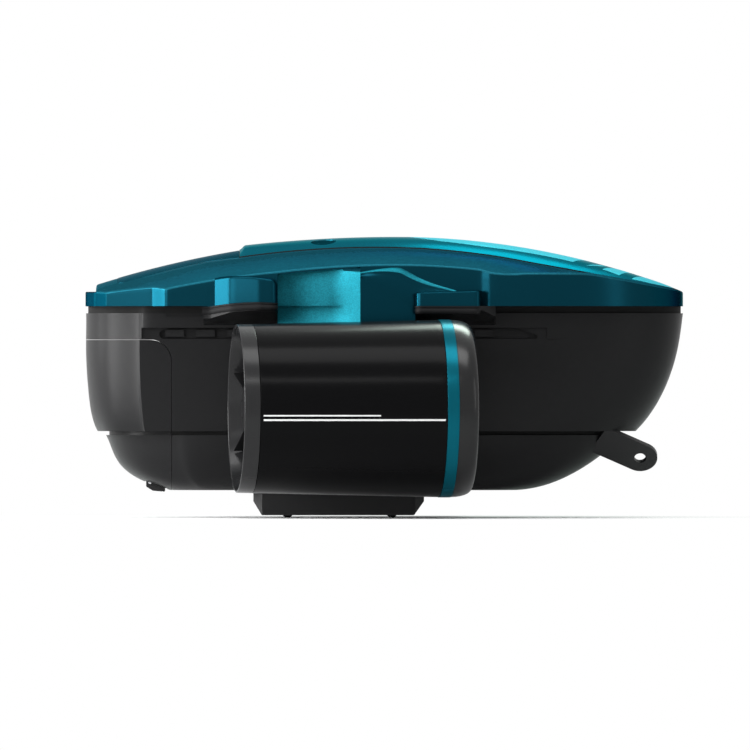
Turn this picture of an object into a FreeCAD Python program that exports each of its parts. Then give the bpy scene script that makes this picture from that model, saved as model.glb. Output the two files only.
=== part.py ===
import FreeCAD
import Part
import math
import os

os.makedirs("parts", exist_ok=True)
V = FreeCAD.Vector

# Underwater scooter in millimetres. +X is forward, +Y is port, +Z is up.
# It stands on the four dome-head screws of its bottom block, at Z = 0.

# Fits and small gaps
face_gap = 0.3
slide_gap = 0.5
run_gap = 0.05

# Hull: heights of its joints, lengths of its ends and half widths
deck_z = 191.0
hull_top_z = 184.7
groove_top_z = 78.2
groove_low_z = 74.6
keel_joint_z = 37.5
keel_z = 24.9
tail_x = -270.0
bow_x = 270.0
hull_half = 82.5
side_half = 76.0
slot_half = 70.0
tail_round_x = -190.0
bow_round_x = 96.0
gasket_inset = 2.0
groove_inset = 3.0
cavity_half = 66.0
cavity_rear_x = -248.0
cavity_front_x = 216.0
lower_cavity_half = 54.0
lower_cavity_rear_x = -210.0
lower_cavity_front_x = 158.0
recess_rear_x = -197.0
recess_front_x = -154.0
recess_z = 181.7
recess_depth = 1.5

# Side slot with its vent blocks
slot_low_z = 161.5
slot_high_z = 171.5
slot_rear_x = -219.0
slot_front_x = 146.5
vent_count = 11
vent_pitch = 27.9
vent_length = 16.7
vent_first_x = -197.6
vent_depth = 4.2
vent_height = 6.3
vent_strip = 1.5
strip_gap = 0.5
slot_slant_rear = 24.0
slot_slant_front = 26.0
strip_rear_x = -205.0
strip_front_x = 138.5
strip_slant = 22.0

# Deck: crowned top, its plan and its side lobes
deck_apex_x = 9.5
deck_apex_z = 252.8
deck_fall_rear = 0.00058
deck_fall_front = 0.00073
deck_fall_side = 0.00212
deck_wall = 8.0
deck_bow_half = 111.0
deck_edge_half = 107.0
deck_lip = 3.0
stern_half = 100.0
tail_block_x = -260.5
tail_block_z = 204.0
lobe_end_x = -96.3
lobe_half = 119.5
lobe_apex_x = -134.0
lobe_apex_z = 218.0
lobe_fall_rear = 0.0056
lobe_fall_front = 0.00256
crease_x = -21.8
crease_inboard = 47.0
shelf_rear_x = 27.6
shelf_front_x = 86.4
shelf_half = 122.0
shelf_z = 203.8
shelf_slant = 14.0
pylon_taper = 11.0
pylon_inner_half = 83.0
pylon_rear_half = 86.0
pylon_waist_x = -58.0
pylon_waist_half = 94.0
pylon_waist_radius = 60.0
pylon_low_z = 140.0
ramp_outer_x = -20.5
ramp_outer_z = 215.8
ramp_outer_slope = -0.552
ramp_inner_x = 14.6
ramp_inner_z = 224.9
ramp_inner_slope = -0.395

# Brackets of the hull under the lobes and shelves
bracket_root_z = 174.0
bracket_edge = 3.0
bracket_inset = 1.0

# Crown panel, tail panel and bow inlays
crown_apex_z = 253.8
crown_fall_rear = 0.00041
crown_fall_front = 0.00072
crown_depth = 4.0
crown_rear_x = -131.0
crown_rear_half = 57.0
crown_mid_half = 76.0
crown_round_x = 131.0
crown_tip_x = 264.0
tail_panel_x = -241.0
tail_panel_half = 52.0
tail_waist_x = -165.0
tail_waist_half = 47.0
tail_panel_proud = 0.3
panel_gap = 0.3
inlay_depth = 1.0
inlay_proud = 0.2
inlay_slant = 6.0

# Battery pack: the tail of the hull with a tongue that slides into a sealed bay
pack_front_x = -191.8
pack_top_z = 161.0
pack_corner = 20.0
pack_gap = 0.4
bulkhead_wall = 4.8
bay_half = 50.0
bay_wall = 3.5
bay_front_x = 15.0
bay_top_z = 154.0
tongue_front_x = 8.0
tongue_wall = 3.0
cell_radius = 16.2
cell_length = 70.5
cell_columns = 5
cell_rows = 2
contact_radius = 3.0
contact_half = 18.0
seal_width = 3.0
seal_setback = 10.0
latch_rear_x = -215.5
latch_front_x = -198.5
latch_low_z = 23.3
latch_half = 12.0
latch_pin_radius = 1.5
latch_heel_z = 36.0
latch_pin_x = -212.0
latch_pin_z = 32.0
latch_rib_pitch = 2.4
latch_rib_count = 4
latch_rib_depth = 0.45
pin_seat = 5.0

# Bottom block and its screws
block_rear_x = -118.5
block_front_x = 35.7
block_low_z = 2.3
block_shoulder_z = 14.9
block_half = 36.0
block_taper_rear = 7.7
block_taper_front = 9.0
block_chamfer = 8.0
foot_radius = 4.05
foot_shank_radius = 2.0
foot_shank_length = 10.0
foot_inset_y = 10.0
foot_rear_x = -87.6
foot_front_x = 6.6

# Tow eyes, flat plates that stand out of the lower hull at the bow
eye_x = 231.1
eye_z = 55.1
eye_half = 22.0
eye_tilt = 39.6
eye_slope = 29.7
eye_bore_radius = 5.5
eye_end_radius = 15.4
eye_thickness = 4.0
eye_reach = 44.0
eye_slot_gap = 0.15

# Thrusters: the axis runs from the outlet rim forward to the front of the lip
thruster_z = 98.8
thruster_rear_x = -133.1
thruster_front_x = 78.2
toe_angle = 6.32
duct_gap = 2.8
outlet_length = 14.3
shell_length = 168.0
accent_length = 10.4
lip_length = 18.4
shell_front_radius = 79.5
shell_taper = 4.0
rim_wall = 2.5
stator_wall = 5.5
throat_wall = 13.0
lip_nose_wall = 8.0
accent_proud = 0.3
stator_seat_s = 72.0
throat_rear_s = 98.0
lip_shoulder = 11.5
lip_shoulder_fall = 1.6
lip_bore_length = 6.0

# Stator, motor and propeller, along the thruster's axis
hub_radius = 29.0
hub_tail_radius = 21.0
hub_tail_s = 7.0
hub_full_s = 50.0
hub_front_s = 104.0
motor_rear_s = 38.0
motor_radius = 26.0
cap_front_s = 118.0
rear_bearing_radius = 9.0
front_bearing_radius = 11.0
bearing_length = 8.0
shaft_stub = 3.0
shaft_end_gap = 1.0
shaft_radius = 4.0
shaft_front_s = 156.0
rotor_radius = 13.4
winding_bore = 14.2
winding_rear_s = 46.0
winding_front_s = 84.0
vane_count = 6
vane_offset = -3.0
vane_thickness = 2.6
vane_rear_s = 4.0
vane_front_s = 66.0
vane_sweep = 17.0
ring_wall = 1.5
propeller_rear_s = 122.0
propeller_front_s = 160.0
propeller_hub_radius = 24.0
tip_gap = 1.7
blade_count = 4
blade_root_sink = 4.0
blade_chords = (30.0, 42.0, 46.0, 38.0)
blade_thicknesses = (5.5, 4.2, 3.0, 1.8)
blade_pitches = (52.0, 38.0, 29.0, 24.0)
blade_rake = 1.0
spinner_front_s = 190.0
guard_s = 194.0
guard_thickness = 4.0
guard_spokes = 8
guard_bar = 3.0
guard_ring_radius = 38.5
guard_disc_radius = 12.0

# Controls on the crown
board_top_z = 224.0
board_thickness = 2.0
board_rear_reach = 16.0
board_front_reach = 20.0
board_side_reach = 14.0
dome_radius = 6.0
dome_height = 4.0
button_travel = 2.0
button_gap = 0.3
button_edge = 1.2
button_sink = 0.2
dish_radius = 60.0
dish_depth = 0.8
power_x = -100.0
power_radius = 9.0
throttle_x = -55.0
throttle_half = 44.0
throttle_radius = 11.0
lens_rear_x = -82.0
lens_front_x = -58.0
lens_half = 15.0
post_radius = 4.0
post_inset = 5.0

# Motor controller on the front wall of the battery bay
controller_front_x = 135.0
controller_half = 42.0
controller_low_z = 84.0
controller_top_z = 132.0
fin_count = 9
fin_pitch = 11.5
fin_thickness = 3.0
fin_height = 12.0

# Sizes that follow from those above
rim_radius = shell_front_radius - shell_taper
rim_bore_radius = rim_radius - rim_wall
stator_bore_radius = rim_radius - stator_wall
throat_radius = shell_front_radius - throat_wall
lip_nose_radius = shell_front_radius - lip_nose_wall
propeller_radius = throat_radius - tip_gap
toe_shift = math.tan(math.radians(toe_angle)) * (thruster_front_x - thruster_rear_x) / 2
thruster_half = side_half + shell_front_radius + toe_shift + duct_gap
crease_half = thruster_half - crease_inboard
pylon_front_half = crease_half - pylon_taper
thruster_length = outlet_length + shell_length + accent_length + lip_length
shell_front_s = outlet_length + shell_length
accent_front_s = shell_front_s + accent_length
far = 400.0


def flat(a, b):
    """Point of a plan outline."""
    return V(a, b, 0)


def upright(a, b):
    """Point of a side outline, in the plane Y = 0."""
    return V(a, 0, b)


def outline(corners, place=flat):
    """Closed wire through corners (a, b, radius), with a tangent arc at each rounded corner."""
    points = [V(a, b, 0) for a, b, radius in corners]
    stops = []
    for i, point in enumerate(points):
        radius = corners[i][2]
        back = (points[i - 1] - point).normalize()
        ahead = (points[(i + 1) % len(points)] - point).normalize()
        if radius == 0:
            stops.append((point, None, point))
            continue
        half_turn = back.getAngle(ahead) / 2
        reach = radius / math.tan(half_turn)
        middle = point + (back + ahead).normalize() * (radius / math.sin(half_turn) - radius)
        stops.append((point + back * reach, middle, point + ahead * reach))
    edges = []
    for i, (entry, middle, leave) in enumerate(stops):
        following = stops[(i + 1) % len(stops)][0]
        if middle is not None:
            edges.append(Part.Arc(place(entry.x, entry.y), place(middle.x, middle.y),
                                  place(leave.x, leave.y)).toShape())
        if leave.distanceToPoint(following) > 1e-6:
            edges.append(Part.makeLine(place(leave.x, leave.y), place(following.x, following.y)))
    return Part.Wire(edges)


def prism(wire, low, high):
    """Solid of a plan outline between two heights."""
    face = Part.Face(wire)
    face.translate(V(0, 0, low))
    return face.extrude(V(0, 0, high - low))


def side_prism(corners, half):
    """Solid of a side outline, symmetrical about the middle plane."""
    face = Part.Face(outline(corners, upright))
    face.translate(V(0, -half, 0))
    return face.extrude(V(0, 2 * half, 0))


def box(low, high):
    """Box between two corner points."""
    return Part.makeBox(high[0] - low[0], high[1] - low[1], high[2] - low[2], V(*low))


def mirrored(shape):
    """The same shape on the other side of the boat."""
    return shape.mirror(V(0, 0, 0), V(0, 1, 0))


def both_sides(shape):
    """A shape and its mirror image as one tool."""
    return Part.makeCompound([shape, mirrored(shape)])


def half_ellipse(centre, reach, half, z):
    """Curve round one end of the hull, from one side to the other; reach is negative at the tail."""
    turn = 1 if reach > 0 else -1
    points = []
    for step in range(9):
        angle = turn * math.radians(-90 + 22.5 * step)
        points.append(V(centre + reach * math.cos(angle), half * math.sin(angle), z))
    curve = Part.BSplineCurve()
    curve.interpolate(Points=points, InitialTangent=V(turn, 0, 0), FinalTangent=V(-turn, 0, 0))
    return curve.toShape()


def hull_outline(z, rear, front, half, rear_centre=tail_round_x, front_centre=bow_round_x):
    """Plan of the hull at one height: straight sides between two half ellipses."""
    bow = half_ellipse(front_centre, front - front_centre, half, z)
    tail = half_ellipse(rear_centre, rear - rear_centre, half, z)
    port = Part.makeLine(V(front_centre, half, z), V(rear_centre, half, z))
    starboard = Part.makeLine(V(rear_centre, -half, z), V(front_centre, -half, z))
    return Part.Wire([bow, port, tail, starboard])


def lofted_hull(sections):
    """Solid through hull outlines."""
    return Part.makeLoft([hull_outline(*section) for section in sections], True, False)


def crowned(apex_x, apex_z, fall_rear, fall_front, fall_side):
    """Surface that falls with the square of the distance from its apex, fore and aft and to both sides."""
    rows = []
    for i in range(-6, 7):
        along = 50 * i
        middle = apex_z - (fall_rear if i < 0 else fall_front) * along ** 2
        rows.append([V(apex_x + along, 40 * j, middle - fall_side * (40 * j) ** 2) for j in range(-4, 5)])
    surface = Part.BSplineSurface()
    surface.interpolate(rows)
    return surface.toShape()


def below(surface):
    """Everything under a crowned surface."""
    return surface.extrude(V(0, 0, -far))


def deck_surface(drop=0.0):
    """Top of the deck cover, or a surface below it."""
    return crowned(deck_apex_x, deck_apex_z - drop, deck_fall_rear, deck_fall_front, deck_fall_side)


def crown_surface(drop=0.0):
    """Top of the crown panel, or a surface below it."""
    return crowned(deck_apex_x, crown_apex_z - drop, crown_fall_rear, crown_fall_front, deck_fall_side)


def crown_height(x, y):
    """Height of the crown's top at a point of its plan."""
    fall = crown_fall_rear if x < deck_apex_x else crown_fall_front
    return crown_apex_z - fall * (x - deck_apex_x) ** 2 - deck_fall_side * y ** 2


def save(shape, node):
    """Write one piece."""
    shape.exportStep("parts/" + node + ".step")


def save_pair(shape, node):
    """Write a starboard piece and its port twin."""
    save(shape, node + "_right")
    save(mirrored(shape), node + "_left")


def spun(corners):
    """Solid of revolution about the thruster's axis, from an outline of (length, radius, rounding)."""
    return Part.Face(outline(corners, upright)).revolve(V(0, 0, 0), V(1, 0, 0), 360)


def sleeve(rear, front, inner, outer, rounding_in=0, rounding_out=0):
    """Tube about the thruster's axis between two lengths and two radii."""
    return spun([(rear, inner, rounding_in), (rear, outer, rounding_out), (front, outer, rounding_out),
                 (front, inner, rounding_in)])


def on_axis(shape):
    """Move a thruster piece from its own axis to the starboard thruster."""
    placed = shape.copy()
    placed.rotate(V(0, 0, 0), V(0, 0, 1), toe_angle)
    placed.translate(V(thruster_rear_x, -thruster_half - toe_shift, thruster_z))
    return placed


def shell_radius(s):
    """Outer radius of the duct at a distance from the outlet rim."""
    return rim_radius + (shell_front_radius - rim_radius) * s / shell_front_s


# Hull shells: lofts through plans whose tail and bow follow the hull's profile
upper_outer = lofted_hull([
    (groove_top_z, -259.5, 227.2, 78.5), (92.0, -264.6, 239.2, 80.5), (113.5, -267.8, 252.0, 82.0),
    (142.5, -269.8, 262.8, hull_half), (164.0, tail_x, 267.3, hull_half),
    (hull_top_z, tail_x, bow_x, hull_half)])
lower_tail_centre = -150.0
lower_bow_centre = 60.0
lower_top = (groove_low_z, -252.0, 213.5, 75.0, lower_tail_centre, lower_bow_centre)
lower_outer = lofted_hull([
    (keel_z, -194.0, 120.0, 38.0, lower_tail_centre, lower_bow_centre),
    (28.5, -206.0, 142.5, 52.0, lower_tail_centre, lower_bow_centre),
    (36.6, -225.0, 164.0, 62.0, lower_tail_centre, lower_bow_centre),
    (49.3, -240.0, 186.0, 69.0, lower_tail_centre, lower_bow_centre),
    lower_top])

# Flat sides beside the ducts, with a deeper slot above each
flat_side = box((-far, side_half, groove_top_z - 1), (far, far, slot_high_z))
slot_corners = [(slot_rear_x, slot_low_z, 4), (slot_front_x, slot_low_z, 2),
                (slot_front_x - slot_slant_front, slot_high_z, 30),
                (slot_rear_x + slot_slant_rear, slot_high_z, 24)]
slot_face = Part.Face(outline(slot_corners, upright))
slot_face.translate(V(0, slot_half, 0))
slot = slot_face.extrude(V(0, far, 0))
flat_side = flat_side.cut(box((-far, side_half, slot_low_z), (slot_rear_x, far, slot_high_z + 1)))
flat_side = flat_side.cut(box((slot_front_x, side_half, slot_low_z), (far, far, slot_high_z + 1)))
upper_outer = upper_outer.cut(both_sides(flat_side)).cut(both_sides(slot))

# The battery pack takes the tail of the hull below its top joint
zone_corners = [(-far, 0, 0), (pack_front_x, 0, 0), (pack_front_x, pack_top_z, pack_corner),
                (-far, pack_top_z, 0)]
pack_zone = side_prism(zone_corners, far)
zone_inner = [(-far, 0, 0), (pack_front_x - pack_gap, 0, 0),
              (pack_front_x - pack_gap, pack_top_z - pack_gap, pack_corner), (-far, pack_top_z - pack_gap, 0)]
pack_block_zone = side_prism(zone_inner, far)
groove_core = prism(hull_outline(0, lower_top[1] + groove_inset, lower_top[2] - groove_inset,
                                 lower_top[3] - groove_inset, lower_tail_centre, lower_bow_centre),
                    groove_low_z, groove_top_z)

# Hull cavities, and the tunnel for the battery bay through the rear bulkhead
bulkhead_x = pack_front_x + bulkhead_wall
cavity_plan = hull_outline(0, cavity_rear_x, cavity_front_x, cavity_half)
upper_cavity = prism(cavity_plan, groove_low_z, hull_top_z)
upper_cavity = upper_cavity.cut(box((-far, -far, 0), (bulkhead_x, far, pack_top_z + 4)))
lower_cavity = prism(hull_outline(0, lower_cavity_rear_x, lower_cavity_front_x, lower_cavity_half,
                                  lower_tail_centre, lower_bow_centre), keel_joint_z, groove_top_z)
lower_cavity = lower_cavity.cut(box((-far, -far, 0), (bulkhead_x, far, far)))
bay_tunnel = box((-far, -bay_half, keel_joint_z), (0, bay_half, bay_top_z))

recess = box((recess_rear_x, hull_half - recess_depth, recess_z), (recess_front_x, far, far))
upper_hull = upper_outer.cut(pack_zone).cut(upper_cavity).cut(bay_tunnel).cut(both_sides(recess))
keel_split = box((-far, -far, 0), (far, far, keel_joint_z))
lower_hull = lower_outer.cut(pack_zone).cut(keel_split).cut(lower_cavity).cut(bay_tunnel)
keel_plate = lower_outer.common(keel_split).cut(pack_zone)
hull_gasket = groove_core.cut(pack_zone).cut(lower_cavity).cut(bay_tunnel)

# Tow eyes: a plate in a slot of the lower hull, tilted along the hull's flank
def eye_plate(growth):
    """Flat plate with a round end, before tilting; growth widens it for the slot that holds it."""
    radius = eye_end_radius + growth
    face = Part.Face(outline([(0, -radius, 0), (0, radius, 0), (-eye_reach, radius, 0),
                              (-eye_reach, -radius, 0)]))
    thickness = eye_thickness + 2 * growth
    arm = face.extrude(V(0, 0, thickness))
    arm = arm.fuse(Part.makeCylinder(radius, thickness)).removeSplitter()
    if growth == 0:
        arm = arm.cut(Part.makeCylinder(eye_bore_radius, thickness))
    arm.translate(V(0, 0, -thickness / 2))
    arm.rotate(V(0, 0, 0), V(0, 0, 1), -eye_slope)
    arm.rotate(V(0, 0, 0), V(1, 0, 0), 90 + eye_tilt)
    arm.translate(V(eye_x, -eye_half, eye_z))
    return arm


tow_eye = eye_plate(0)
lower_hull = lower_hull.cut(both_sides(eye_plate(eye_slot_gap)))
keel_plate = keel_plate.cut(both_sides(eye_plate(eye_slot_gap)))
hull_gasket = hull_gasket.cut(both_sides(eye_plate(eye_slot_gap)))
upper_hull = upper_hull.cut(both_sides(eye_plate(eye_slot_gap)))

# Vent strips: a thin backing in each side slot, with blocks standing on it
strip_low_z = slot_low_z + strip_gap
strip_high_z = slot_high_z - strip_gap
strip = Part.Face(outline([(strip_rear_x, strip_low_z, 2), (strip_front_x, strip_low_z, 2),
                           (strip_front_x - strip_slant, strip_high_z, 20),
                           (strip_rear_x + strip_slant, strip_high_z, 16)], upright))
strip.translate(V(0, -slot_half - vent_strip, 0))
side_vent = strip.extrude(V(0, vent_strip, 0))
for i in range(vent_count):
    x = vent_first_x + i * vent_pitch
    z = (slot_low_z + slot_high_z - vent_height) / 2
    side_vent = side_vent.fuse(box((x, -slot_half - vent_strip - vent_depth, z),
                                   (x + vent_length, -slot_half - vent_strip / 2, z + vent_height)))

# Battery pack: tail block and tongue, hollow for the cells
tongue_half = bay_half - bay_wall - slide_gap
tongue_low_z = keel_joint_z + bay_wall + 2 * slide_gap
tongue_top_z = bay_top_z - bay_wall - slide_gap
tail_block = upper_outer.fuse([lower_outer, groove_core]).common(pack_block_zone)
tongue = box((pack_front_x - 6, -tongue_half, tongue_low_z), (tongue_front_x, tongue_half, tongue_top_z))
cell_bay = box((pack_front_x + 2, -tongue_half + tongue_wall, tongue_low_z + tongue_wall),
               (tongue_front_x - tongue_wall, tongue_half - tongue_wall, tongue_top_z - tongue_wall))
tail_hollow = box((cavity_rear_x, -tongue_half + tongue_wall, groove_top_z + 8),
                  (pack_front_x + 3, tongue_half - tongue_wall, tongue_top_z - tongue_wall))
latch_room = box((latch_rear_x - 1.5, -latch_half - face_gap, 0),
                 (latch_front_x + 2, latch_half + face_gap, latch_pin_z + 6))
pin_hole = Part.makeCylinder(latch_pin_radius, 2 * latch_half + 2 * pin_seat,
                             V(latch_pin_x, -latch_half - pin_seat, latch_pin_z), V(0, 1, 0))
battery_shell = tail_block.fuse(tongue).cut([cell_bay, tail_hollow, latch_room, pin_hole])

cells = []
cell_pitch_x = (cell_bay.BoundBox.XLength - 2 * cell_radius) / (cell_columns - 1)
cell_pitch_z = 2 * cell_radius + face_gap
for i in range(cell_columns):
    for j in range(cell_rows):
        x = cell_bay.BoundBox.XMin + cell_radius + i * cell_pitch_x
        z = cell_bay.BoundBox.ZMin + cell_radius + j * cell_pitch_z
        cells.append(Part.makeCylinder(cell_radius, cell_length, V(x, -cell_length / 2, z), V(0, 1, 0)))

bay_outer = box((pack_front_x, -bay_half, keel_joint_z), (bay_front_x, bay_half, bay_top_z))
bay_inner = box((pack_front_x - 1, -bay_half + bay_wall, keel_joint_z + bay_wall),
                (bay_front_x - bay_wall, bay_half - bay_wall, bay_top_z - bay_wall))
battery_bay = bay_outer.cut(bay_inner)
contact_z = (tongue_low_z + tongue_top_z) / 2
bay_contacts = []
pack_contacts = []
for y in (-contact_half, contact_half):
    pin_length = bay_front_x - bay_wall - tongue_front_x - face_gap
    bay_contacts.append(Part.makeCylinder(contact_radius, pin_length,
                                          V(tongue_front_x + face_gap, y, contact_z), V(1, 0, 0)))
    pack_contacts.append(Part.makeCylinder(contact_radius + 1, tongue_wall / 2,
                                           V(tongue_front_x - tongue_wall / 2, y, contact_z), V(1, 0, 0)))
battery_shell = battery_shell.cut(pack_contacts)
seal_x = pack_front_x + seal_setback
seal_outer = box((seal_x, -tongue_half - slide_gap / 2, tongue_low_z - slide_gap / 2),
                 (seal_x + seal_width, tongue_half + slide_gap / 2, tongue_top_z + slide_gap / 2))
seal_inner = box((seal_x - 1, -tongue_half + 1, tongue_low_z + 1),
                 (seal_x + seal_width + 1, tongue_half - 1, tongue_top_z - 1))
battery_seal = seal_outer.cut(seal_inner)
battery_shell = battery_shell.cut(battery_seal)

latch_corners = [(latch_rear_x, latch_heel_z - 8, 2), (latch_rear_x + 6, latch_low_z + 1, 3),
                 (latch_front_x, latch_low_z, 1), (latch_front_x, latch_heel_z - 6, 2),
                 (latch_pin_x + 4, latch_heel_z, 3), (latch_rear_x, latch_heel_z, 3)]
battery_latch = side_prism(latch_corners, latch_half)
for i in range(latch_rib_count):
    x = latch_front_x - latch_rib_pitch * (i + 0.9)
    groove = box((x - latch_rib_pitch / 4, -latch_half, 0),
                 (x + latch_rib_pitch / 4, latch_half, latch_low_z + latch_rib_depth))
    battery_latch = battery_latch.cut(groove)
battery_latch = battery_latch.cut(Part.makeCylinder(latch_pin_radius + run_gap, 2 * latch_half,
                                                    V(latch_pin_x, -latch_half, latch_pin_z), V(0, 1, 0)))

# Deck gasket
deck_gasket = prism(hull_outline(0, tail_x + gasket_inset, bow_x - gasket_inset, hull_half - gasket_inset),
                    hull_top_z, deck_z)
deck_gasket = deck_gasket.cut(prism(cavity_plan, hull_top_z, deck_z))

# Deck cover: plan prisms under the crowned surface, with the notch between the lobes cut back
stern_corners = [
    (bow_round_x, deck_bow_half, 0), (bow_round_x - 10, deck_edge_half, 0), (lobe_end_x, deck_edge_half, 0),
    (-197.0, stern_half, 6), (-209.0, 89.0, 8), (-251.0, 68.0, 0),
    (-262.0, 52.0, 8), (tail_x, 38.0, 8)]
stern_plan = stern_corners + [(x, -y, radius) for x, y, radius in reversed(stern_corners)]
bow_plan = Part.Wire([half_ellipse(bow_round_x, bow_x - bow_round_x, deck_bow_half, 0),
                      Part.makeLine(V(bow_round_x, deck_bow_half, 0), V(bow_round_x, -deck_bow_half, 0))])
pylon_corners = [
    (lobe_end_x, pylon_inner_half, 0), (lobe_end_x, pylon_rear_half, 0),
    (pylon_waist_x, pylon_waist_half, pylon_waist_radius), (crease_x, crease_half, 0.6),
    (shelf_rear_x, pylon_front_half, 0), (shelf_rear_x, pylon_inner_half, 0)]
pylon_plan = outline(pylon_corners)


def shelf_plan(inset, inner):
    """Plan of a front shelf, less an inset all round."""
    rear, front = shelf_rear_x + inset, shelf_front_x - inset / 2
    return outline([(rear, inner, 0), (rear, shelf_half - inset, 8), (front, shelf_half - inset, 9),
                    (front + shelf_slant, pylon_inner_half + 20, 0), (front + shelf_slant, inner, 0)])


def lobe_plan(inset, inner):
    """Plan of a rear lobe, less an inset all round."""
    front, half = lobe_end_x - inset, lobe_half - inset
    return outline([(front, inner, 0), (front, half, 7), (-112.0, half + 0.5, 12), (-138.0, half - 5.5, 14),
                    (-157.5, stern_half - 0.5 - inset, 8), (-163.0, stern_half - 1 - inset, 0),
                    (-163.0, inner, 0)])


under_deck = below(deck_surface())
deck_base = prism(outline(stern_plan), deck_z, far).fuse(prism(bow_plan, deck_z, far)).removeSplitter()
notch = box((lobe_end_x, pylon_inner_half, 0), (crease_x, far, far)).common(below(deck_surface(deck_lip)))
shelf = prism(shelf_plan(0, pylon_inner_half), deck_z, shelf_z)
lobe_surface = crowned(lobe_apex_x, lobe_apex_z, lobe_fall_rear, lobe_fall_front, 0)
lobe = prism(lobe_plan(0, pylon_inner_half + 10), deck_z, far).common(below(lobe_surface))
pylon_root = prism(pylon_plan, deck_z, far)
deck_cover = deck_base.common(under_deck)
deck_cover = deck_cover.cut(both_sides(notch))
deck_cover = deck_cover.fuse([pylon_root.common(under_deck), mirrored(pylon_root).common(under_deck), shelf,
                              mirrored(shelf), lobe, mirrored(lobe)]).removeSplitter()

# Ramp beside the skirt: its outer edge falls along the pylon's face and its inner edge down to the shelf
ramp_outer = (V(ramp_outer_x, crease_half, ramp_outer_z), ramp_outer_slope)
ramp_inner = (V(ramp_inner_x, deck_edge_half - 2, ramp_inner_z), ramp_inner_slope)
ramp_rows = []
for mark, slope in (ramp_outer, ramp_inner):
    ramp_rows.append([V(x, mark.y, mark.z + slope * (x - mark.x)) for x in (crease_x - 4, shelf_front_x)])
outer_edge, inner_edge = [Part.makeLine(*row) for row in ramp_rows]
ramp_tool = Part.makeRuledSurface(outer_edge, inner_edge).extrude(V(0, 0, far))
ramp_tool = ramp_tool.common(box((-far, 0, shelf_z), (far, far, far)))
deck_cover = deck_cover.cut(both_sides(ramp_tool))
deck_cover = deck_cover.cut(box((-far, -far, tail_block_z), (tail_block_x, far, far)))

# Brackets that flare out of the hull's flank to carry the lobes and shelves
bracket_corners = [(hull_half - 4.5, bracket_root_z, 0), (hull_half + 1.5, bracket_root_z, 0),
                   (lobe_half, deck_z - bracket_edge, 40), (shelf_half, deck_z - bracket_edge, 0),
                   (shelf_half, deck_z, 0), (hull_half - gasket_inset + face_gap, deck_z, 0),
                   (hull_half - gasket_inset + face_gap, hull_top_z, 0), (hull_half - 4.5, hull_top_z, 0)]
bracket_face = Part.Face(outline(bracket_corners, lambda a, b: V(0, a, b)))
bracket_face.translate(V(-far / 2, 0, 0))
flare = bracket_face.extrude(V(far, 0, 0))
for plan in (lobe_plan(bracket_inset, cavity_half + 6), shelf_plan(bracket_inset, cavity_half + 6)):
    upper_hull = upper_hull.fuse(both_sides(flare.common(prism(plan, bracket_root_z, deck_z))))

# Hollow under the deck, with posts for the control board
deck_room = prism(cavity_plan, deck_z, far).common(below(deck_surface(deck_wall)))
deck_cover = deck_cover.cut(deck_room)
board_rear_x = power_x - board_rear_reach
board_front_x = throttle_x + board_front_reach
board_half = throttle_half + board_side_reach
posts = []
for x in (board_rear_x + post_inset, board_front_x - post_inset):
    for y in (-board_half + post_inset, board_half - post_inset):
        post = Part.makeCylinder(post_radius, 40, V(x, y, board_top_z))
        posts.append(post.common(below(deck_surface(deck_wall - 1))))
deck_cover = deck_cover.fuse(posts)
control_board = box((board_rear_x, -board_half, board_top_z - board_thickness),
                    (board_front_x, board_half, board_top_z))

# Crown and tail panels lie in a recess of the deck
def crown_plan(gap):
    """Plan of the raised crown panel, less a gap all round."""
    front = half_ellipse(crown_round_x, crown_tip_x - gap - crown_round_x, crown_mid_half - gap, 0)
    sides = [V(crown_round_x, crown_mid_half - gap, 0), V(crown_rear_x + gap, crown_rear_half - gap, 0),
             V(crown_rear_x + gap, -crown_rear_half + gap, 0), V(crown_round_x, -crown_mid_half + gap, 0)]
    return Part.Wire([front] + [Part.makeLine(a, b) for a, b in zip(sides, sides[1:])])


def tail_plan(gap):
    """Plan of the smooth panel behind the crown, less a gap all round."""
    corners = [(crown_rear_x - gap, crown_rear_half - gap, 0), (tail_waist_x, tail_waist_half - gap, 30),
               (tail_panel_x + gap, tail_panel_half - gap, 6)]
    return outline(corners + [(x, -y, radius) for x, y, radius in reversed(corners)])


crown_seat = below(crown_surface(crown_depth))
tail_seat = below(deck_surface(crown_depth))
crown_room = prism(crown_plan(0), deck_z, far).cut(crown_seat)
tail_room = prism(tail_plan(0), deck_z, far).cut(tail_seat)
deck_cover = deck_cover.cut(crown_room).cut(tail_room)
crown_panel = prism(crown_plan(panel_gap), deck_z, far).common(below(crown_surface())).cut(crown_seat)
tail_panel = prism(tail_plan(panel_gap), deck_z, far).common(below(deck_surface(-tail_panel_proud)))
tail_panel = tail_panel.cut(tail_seat)

# Pale inlays across the bow, with slanted ends
inlay_spans = [(52.0, 172.0, 20.0, 27.0), (183.0, 194.0, 30.0, 40.0), (199.0, 219.0, 28.0, 42.0),
               (226.0, 250.0, 18.0, 34.0)]
inlays = []
for rear, front, inner, outer in inlay_spans:
    plan = outline([(rear, inner, 1), (front - inlay_slant, inner, 1), (front, outer, 1),
                    (rear + inlay_slant, outer, 1)])
    inlay = prism(plan, deck_z, far).common(below(crown_surface(-inlay_proud)))
    inlay = inlay.cut(below(crown_surface(inlay_depth)))
    inlays += [inlay, mirrored(inlay)]
crown_panel = crown_panel.cut(inlays)

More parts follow.
